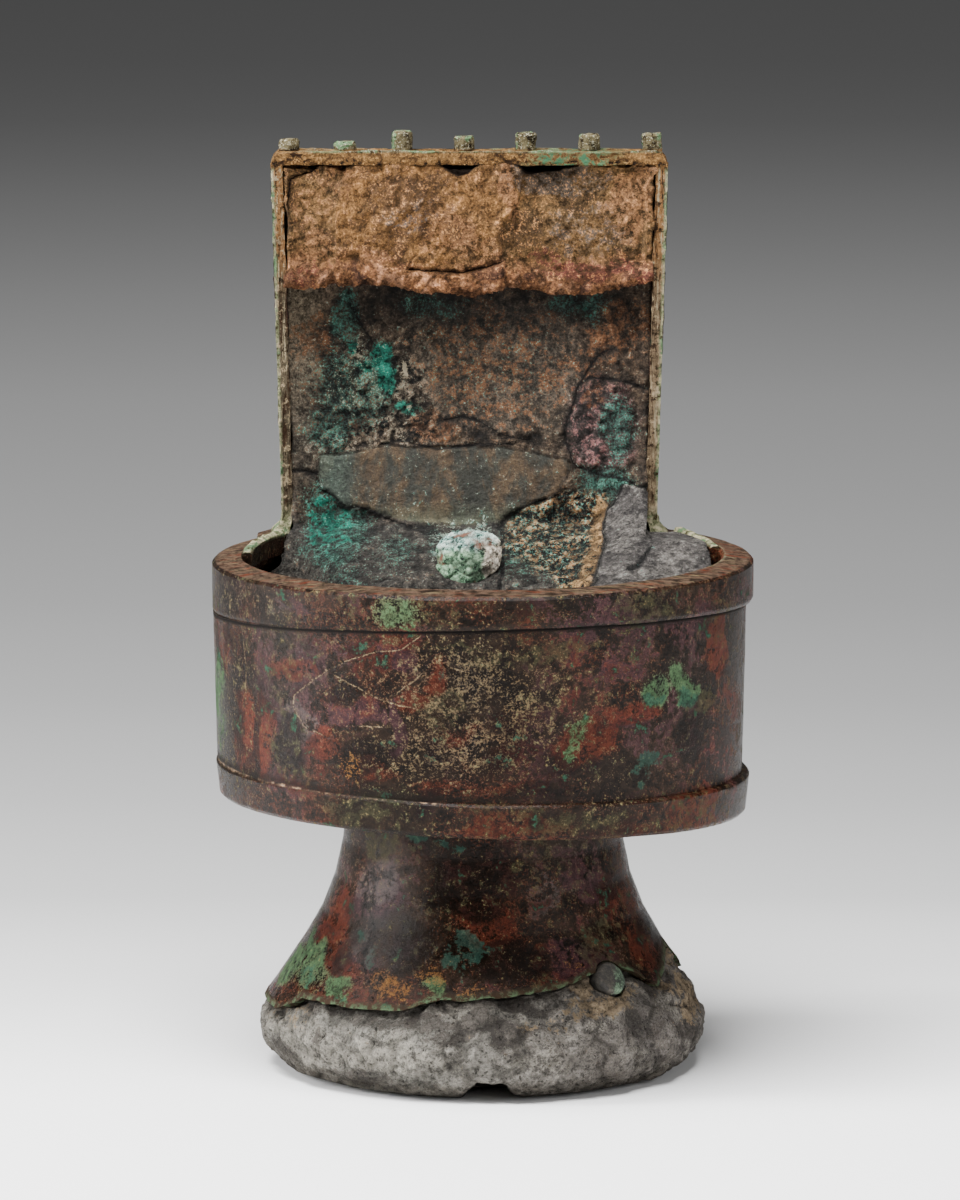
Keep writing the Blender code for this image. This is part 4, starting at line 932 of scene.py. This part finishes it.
    make.layer(stubs, make.mix(make.range(make.crisp, 0.42, 0.56), tint(84, 72, 50), tint(132, 122, 92, 1.4)), 0.9)
    make.layer(make.both(stubs, make.range(make.coarse, 0.52, 0.56)), tint(112, 146, 104, 1.4), 0.9)
    make.layer(make.both(stubs, make.range(make.crisp, 0.455, 0.41)), tint(46, 38, 30), 0.9)
    make.layer(make.both(stubs, make.range(make.fine, 0.57, 0.62)), tint(196, 190, 164, 1.4), 0.9)
    level = make.math("ADD", make.part(make.crisp, 0.6), make.part(make.fine, 0.4))
    stronger = make.math("MAXIMUM", make.part(dust, 0.6), make.math("MAXIMUM", crusted, stubs))
    level = make.math("MULTIPLY", level, make.range(stronger, 0.0, 1.0, 0.32, 1.5))
    level = make.math("SUBTRACT", level, make.part(marks, 0.06))
    return make.finish(level, 1.2 * MM, BRONZE_GAIN, specular=0.07)


def tan_finish():
    """Orange-brown fired clay with darker blotches, a grey part and a pink lower edge."""
    make = Finish("tan clay")
    make.colour = make.mix(make.range(make.coarse, 0.42, 0.58), tint(128, 96, 64), tint(182, 132, 82))
    make.rough = make.range(make.coarse, 0.3, 0.7, 0.88, 0.97)
    make.layer(make.part(make.range(make.frayed("ridge", 4.0), -1.0, 1.0), 0.45), tint(128, 108, 78))
    make.blot("pink", tint(188, 134, 96), 2.8, make.crisp, 0.6)
    make.blot("dark", tint(76, 62, 50), 2.8, make.crisp, 0.75)
    make.blot("grey", tint(98, 94, 90), 3.0, make.crisp, 0.7)
    lip = make.area("lip", 3.5, 14.0)
    make.layer(make.part(lip, 0.70), tint(172, 114, 80))
    make.layer(make.both(lip, make.range(make.coarse, 0.53, 0.58)), tint(206, 150, 114))
    make.layer(make.both(lip, make.range(make.coarse, 0.47, 0.42)), tint(112, 78, 62))
    make.blot("red", tint(122, 70, 62), 2.4, make.crisp, 0.8)
    # Pale ochre on the tops of the fine grain: grain colour and painted highlight.
    make.layer(make.part(make.range(make.grain, 0.54, 0.60), 0.7), tint(208, 150, 94))
    # Painted shade in the hollows and painted light on the tops of the grain, which also makes the bump.
    make.grit_with_painted_shade(make.crisp, 0.44, 1.48)
    make.grit_with_painted_shade(make.grain, 0.46, 1.36)
    # Painted shade in the low places of the worked surface and painted light on its high places.
    relief = make.stored("relief")
    make.shade(make.range(relief, -0.10, -0.50), 0.50)
    make.shade(make.range(relief, 0.10, 0.45), 1.25)
    make.layer(make.line("crack", 0.36, 1.8), tint(34, 24, 18))
    # Painted shade in the gaps between the slab's top and the beam.
    make.layer(make.area("gap", 0.4, 3.0), tint(46, 38, 32))
    height = make.math("ADD", make.crisp, make.part(make.coarse, 0.8))
    return make.finish(height, 5.0 * MM, SLAB_GAIN, specular=0.1)


def fill_finish():
    """Burnt dark clay with green crystals, a smooth brown lens, rusty crust and a grey mass."""
    make = Finish("dark core clay")
    parts = make.add("ShaderNodeSeparateXYZ", {0: make.place})
    across, up = parts.outputs["X"], parts.outputs["Z"]
    make.colour = make.mix(make.range(make.coarse, 0.42, 0.58), tint(72, 62, 52), tint(122, 104, 86))
    make.rough = make.range(make.coarse, 0.3, 0.7, 0.75, 0.95)
    make.layer(make.part(make.range(up, 0.1620, 0.1560), 0.85), tint(86, 83, 78))
    column = make.both(make.range(across, -0.0470, -0.0520), make.range(up, 0.160, 0.185))
    make.layer(make.part(column, 0.9), make.mix(make.range(up, 0.185, 0.215), tint(122, 112, 98), tint(172, 154, 128)))
    centre = make.area("centre", 3.0, 12.0)
    make.layer(make.part(centre, 0.85), tint(96, 84, 70))
    make.layer(make.both(centre, make.range(make.coarse, 0.51, 0.56)), tint(130, 116, 100))
    right = make.both(make.range(across, 0.0270, 0.0310), make.range(up, 0.1700, 0.1760))
    make.layer(make.part(right, 0.7), tint(104, 86, 70))
    purple = make.area("purple", 2.0, 8.0)
    make.layer(make.part(purple, 0.85), tint(84, 72, 70))
    make.layer(make.both(purple, make.range(make.crisp, 0.50, 0.55)), tint(142, 100, 98))
    crystals = make.area("crystals", 2.5, 12.0)
    make.layer(make.both(crystals, make.range(make.crisp, 0.48, 0.43)), tint(34, 32, 29))
    make.layer(make.both(crystals, make.range(make.crisp, 0.51, 0.55)), tint(172, 158, 136))
    make.blot("rust", tint(132, 88, 58), 4.5, make.crisp, 0.8)
    make.blot("teal", tint(34, 98, 82), 4.2, make.grain, 0.9, 0.6)
    make.blot("teal", tint(98, 148, 132), 2.6, make.fine, 0.5, 0.6)
    make.blot("bright", tint(26, 134, 112), 3.0, make.crisp, 0.95, 0.6)

    lens = make.area("lens", 0.4, 2.4)
    bands = make.stretched((110.0, 110.0, 45.0), 6.0, 0.8)
    plain = make.mix(make.range(bands, 0.46, 0.56), tint(66, 66, 58), tint(98, 80, 60))
    make.layer(lens, plain, 0.65)
    make.layer(make.part(make.both(lens, make.range(across, -0.036, -0.046)), 0.7), tint(92, 108, 96))
    make.layer(make.part(make.both(lens, make.range(up, 0.164, 0.158)), 0.5), tint(110, 116, 94))
    crust = make.area("crust", 1.2, 5.0)
    make.layer(make.both(crust, make.range(make.crisp, 0.53, 0.47)), tint(44, 38, 33))
    make.layer(make.both(crust, make.range(make.crisp, 0.51, 0.54)), tint(186, 142, 98))
    make.layer(make.both(crust, make.range(make.fine, 0.55, 0.60)), tint(112, 170, 152))
    make.layer(make.both(make.area("crust_rim", 0.5, 4.0), make.range(make.crisp, 0.40, 0.46)), tint(200, 158, 108))
    mass = make.area("mass", 0.4, 1.4)
    make.layer(mass, make.mix(make.range(make.coarse, 0.44, 0.58), tint(98, 93, 90), tint(136, 130, 124)))
    make.layer(make.range(make.math("ABSOLUTE", make.frayed("mass", 1.6)), 0.5, 0.2), tint(150, 144, 136))

    soft = make.math("SUBTRACT", 1.0, make.part(lens, 0.72))
    # Painted shade in the hollows and painted light on the tops of the grain and of the lens's noise, which also make
    # the bump.
    make.grit_with_painted_shade(make.crisp, 0.45, 1.60, soft)
    make.grit_with_painted_shade(make.grain, 0.42, 1.70, soft)
    make.grit_with_painted_shade(make.grain, 0.66, 1.26, lens)
    make.grit_with_painted_shade(make.coarse, 0.80, 1.20, lens)
    # Painted shade in the low places of the worked surface and painted light on its high places.
    relief = make.stored("relief")
    make.shade(make.range(relief, -0.15, -0.60), 0.32)
    make.shade(make.range(relief, 0.12, 0.50), 1.5)
    make.blot("white", tint(198, 184, 154, 1.3), 3.0, make.grain, 0.9)
    make.blot("ring", tint(84, 150, 136), 3.6, make.crisp, 0.9)
    make.blot("ring", tint(178, 190, 172, 1.3), 4.2, make.grain, 0.9)
    make.shade(make.range(make.stored("shadow"), 0.1, 0.9), 0.40)
    make.layer(make.line("crack", 0.26, 3.0), tint(18, 15, 13))
    # Painted shade on the clay beside the cracks.
    make.shade(make.range(make.math("ABSOLUTE", make.frayed("crack", 4.0)), 1.6, 0.2), 0.85)
    height = make.math("ADD", make.crisp, make.coarse)
    height = make.math("MULTIPLY", height, soft)
    return make.finish(height, 5.5 * MM, FILL_GAIN, specular=0.2)


def core_finish():
    """Pale grey gritty clay, tan round the plug, with painted shade under the bronze's edge, towards the right and
    towards the bottom.
    """
    make = Finish("grey core clay")
    parts = make.add("ShaderNodeSeparateXYZ", {0: make.place})
    across, up = parts.outputs["X"], parts.outputs["Z"]
    below = make.frayed("below", 12.0, make.coarse)
    # Both tones grow darker to the right: painted shade on the side away from the light at the left.
    light = make.mix(make.range(across, -0.020, 0.045), tint(164, 160, 150), tint(150, 143, 136))
    dark = make.mix(make.range(across, -0.020, 0.045), tint(146, 141, 132), tint(132, 125, 118))
    make.colour = make.mix(make.range(make.coarse, 0.44, 0.56), dark, light)
    make.rough = make.range(make.coarse, 0.3, 0.7, 0.90, 0.97)
    make.blot("pale", tint(184, 178, 164), 2.4, make.crisp, 0.55)
    make.blot("dark", tint(80, 74, 70), 2.2, make.crisp, 0.8)
    make.blot("tan", tint(164, 142, 112), 3.0, make.crisp, 0.8)
    # Dark band just below the bronze's broken edge: painted shade under the edge.
    make.layer(make.part(make.range(below, 4.5, 1.0), 0.75), tint(66, 60, 55))
    # Darker towards the bottom: painted shade on the rounded underside.
    make.layer(make.part(make.range(make.math("ADD", up, make.math("MULTIPLY", make.coarse, 0.010)), 0.0125, 0.0090), 0.75),
               tint(88, 82, 74))
    # Painted shade in the hollows and painted light on the tops of the grain, which also makes the bump.
    make.grit_with_painted_shade(make.crisp, 0.62, 1.20)
    make.grit_with_painted_shade(make.grain, 0.58, 1.26)
    pits = make.range(make.noise(make.place, 700.0, 2.0, 0.6).outputs["Fac"], 0.36, 0.32)
    make.shade(pits, 0.35)
    # Painted shade in the low places and seams of the worked surface and painted light on its high places.
    relief = make.stored("relief")
    make.shade(make.range(relief, -0.25, -0.90), 0.50)
    make.shade(make.range(relief, 0.25, 0.90), 1.15)
    height = make.math("ADD", make.part(make.crisp, 0.7), make.coarse)
    return make.finish(height, 7.0 * MM, CORE_GAIN, specular=0.1)


def tenon_finish():
    """Chalky pale green and white corrosion, with painted shade in its hollows."""
    make = Finish("chalky green")
    parts = make.add("ShaderNodeSeparateXYZ", {0: make.place})
    wobble = make.math("MULTIPLY", make.math("SUBTRACT", make.coarse, 0.5), 0.012)
    across = make.math("ADD", parts.outputs["X"], wobble)
    up = make.math("ADD", parts.outputs["Z"], wobble)
    make.colour = make.mix(make.range(make.crisp, 0.44, 0.56), tint(98, 136, 104), tint(150, 180, 148))
    make.rough = make.range(make.coarse, 0.3, 0.7, 0.80, 0.95)
    top = make.range(up, 0.1520, 0.1545)
    make.layer(top, make.mix(make.range(make.crisp, 0.44, 0.54), tint(88, 140, 130), tint(200, 218, 206)))
    make.layer(make.both(make.range(across, -0.0012, 0.0002), make.range(up, 0.1575, 0.1550)),
               make.mix(make.range(make.crisp, 0.44, 0.56), tint(176, 164, 144), tint(226, 216, 198)))
    # Near-black where the crisp noise, which makes the bump, is low: painted shade in the hollows.
    make.layer(make.range(make.crisp, 0.455, 0.41), tint(34, 44, 38))
    make.grit_with_painted_shade(make.fine, 0.55, 1.3)
    # Painted shade in the low places of the worked surface and painted light on its high places.
    relief = make.stored("relief")
    make.shade(make.range(relief, -0.30, -0.90), 0.30)
    make.shade(make.range(relief, 0.10, 0.60), 1.25)
    make.layer(make.both(make.range(relief, -0.40, -0.80), make.range(make.coarse, 0.52, 0.58)), tint(116, 78, 64))
    return make.finish(make.crisp, 3.0 * MM, TENON_GAIN, specular=0.2)


def plug_finish():
    """Dull grey-brown metal with green corrosion at its right."""
    make = Finish("brown metal")
    across = make.add("ShaderNodeSeparateXYZ", {0: make.place}).outputs["X"]
    make.colour = make.mix(make.range(make.crisp, 0.42, 0.58), tint(54, 50, 45), tint(100, 92, 80))
    make.rough = make.range(make.coarse, 0.3, 0.7, 0.55, 0.75)
    wobble = make.math("MULTIPLY", make.math("SUBTRACT", make.crisp, 0.5), 0.008)
    green = make.range(make.math("ADD", across, wobble), 0.0385, 0.0392)
    make.layer(green, make.mix(make.range(make.crisp, 0.44, 0.54), tint(60, 72, 58), tint(126, 152, 122, 1.3)), 0.85)
    make.grit_with_painted_shade(make.fine, 0.6, 1.3)
    return make.finish(make.crisp, 1.0 * MM, BRONZE_GAIN)


def finish_piece(piece, material, node, sharp=None):
    """Material, shading and place in the frame of a finished piece."""
    piece.data.materials.clear()
    piece.data.materials.append(material)
    activate(piece)
    if sharp:
        bpy.ops.object.shade_smooth_by_angle(angle=math.radians(sharp))
    else:
        bpy.ops.object.shade_smooth()
    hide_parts(node)
    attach(piece, "root")


finish_piece(work_over_bronze(), bronze_finish(), "bronze_body", sharp=40.0)
finish_piece(work_over_slab(), tan_finish(), "upper_core_slab")
finish_piece(work_over_fill(), fill_finish(), "core_fill")
finish_piece(work_over_foot_core(), core_finish(), "foot_core")
finish_piece(work_over_tenon(), tenon_finish(), "tenon")
finish_piece(work_over_plug(), plug_finish(), "foot_plug")


# Floor, light and camera


# Grey of the floor at some depths behind the burner: pale near it, then painted shade that stands in for the light
# falling off with depth
FLOOR_FALLOFF_GREYS = ((-0.30, 0.95), (-0.17, 0.94), (-0.06, 0.89), (0.09, 0.59), (0.26, 0.355), (0.44, 0.285), (0.66, 0.24),
               (0.90, 0.227), (1.19, 0.245), (1.53, 0.278), (1.94, 0.285), (2.43, 0.275), (2.92, 0.25),
               (3.35, 0.265), (3.78, 0.30), (4.20, 0.33))


def make_floor():
    """Wide pale floor with painted shade that darkens it to grey behind the burner."""
    bpy.ops.object.select_all(action="DESELECT")
    bpy.ops.mesh.primitive_plane_add(size=1.0, location=(0.0, 0.0, 0.0))
    floor = bpy.context.active_object
    floor.name = "studio_floor"
    for vertex in floor.data.vertices:
        vertex.co = Vector((vertex.co.x * 24.0, vertex.co.y * 24.0, 0.0))
    material = bpy.data.materials.new("studio sweep")
    material.use_nodes = True
    tree = Tree(material.node_tree)
    place = tree.add("ShaderNodeTexCoord").outputs["Object"]
    depth = tree.add("ShaderNodeSeparateXYZ", {0: place}).outputs["Y"]
    stops = tree.add("ShaderNodeValToRGB", {"Fac": tree.range(depth, FLOOR_FALLOFF_GREYS[0][0], FLOOR_FALLOFF_GREYS[-1][0])})
    reach = FLOOR_FALLOFF_GREYS[-1][0] - FLOOR_FALLOFF_GREYS[0][0]
    elements = stops.color_ramp.elements
    for index, (place, grey) in enumerate(FLOOR_FALLOFF_GREYS):
        share = (place - FLOOR_FALLOFF_GREYS[0][0]) / reach
        last = index == len(FLOOR_FALLOFF_GREYS) - 1
        stop = elements[0] if index == 0 else elements[-1] if last else elements.new(share)
        stop.color = (grey, grey, grey, 1.0)
    shader = material.node_tree.nodes["Principled BSDF"]
    material.node_tree.links.new(stops.outputs["Color"], shader.inputs["Base Color"])
    shader.inputs["Roughness"].default_value = 0.9
    shader.inputs["Specular IOR Level"].default_value = 0.1
    floor.data.materials.append(material)


def make_light(name, place, target, size, power):
    data = bpy.data.lights.new(name, "AREA")
    data.shape = "RECTANGLE"
    data.size, data.size_y = size
    data.energy = power
    light = bpy.data.objects.new(name, data)
    bpy.context.scene.collection.objects.link(light)
    light.location = place
    light.rotation_euler = (Vector(target) - Vector(place)).to_track_quat("-Z", "Y").to_euler()


def make_camera():
    """Camera that sees the rim's middle at the photo's place, angle and scale."""
    focal = PIXELS_PER_METRE * CAMERA_DISTANCE
    sight = Vector((0.0, math.cos(CAMERA_ELEVATION), -math.sin(CAMERA_ELEVATION)))
    place = Vector((0.0, 0.0, RIM_HEIGHT)) - sight * CAMERA_DISTANCE
    pitch = CAMERA_ELEVATION - math.atan((RIM_PIXEL[1] - PHOTO_HEIGHT / 2) / focal)
    yaw = math.atan((RIM_PIXEL[0] - PHOTO_WIDTH / 2) / focal)
    data = bpy.data.cameras.new("camera")
    data.sensor_fit = "VERTICAL"
    data.sensor_height = SENSOR
    data.lens = focal / PHOTO_HEIGHT * SENSOR
    data.clip_end = 50.0
    camera = bpy.data.objects.new("camera", data)
    bpy.context.scene.collection.objects.link(camera)
    camera.location = place
    camera.rotation_euler = (math.radians(90.0) - pitch, 0.0, yaw)
    bpy.context.scene.camera = camera


def make_world():
    world = bpy.data.worlds.new("soft room")
    bpy.context.scene.world = world
    world.use_nodes = True
    background = world.node_tree.nodes["Background"]
    background.inputs["Color"].default_value = (1.0, 1.0, 1.0, 1.0)
    background.inputs["Strength"].default_value = 0.10


make_floor()
make_light("left strip", (-1.3, -0.15, 0.50), (0.0, 0.0, 0.12), (0.16, 1.0), 40.0)
make_light("overhead", (-0.22, -0.45, 1.6), (0.0, 0.0, 0.15), (1.2, 0.7), 108.0)
make_light("right fill", (1.3, -1.0, 0.6), (0.0, 0.0, 0.12), (0.9, 1.2), 15.0)
make_camera()
make_world()
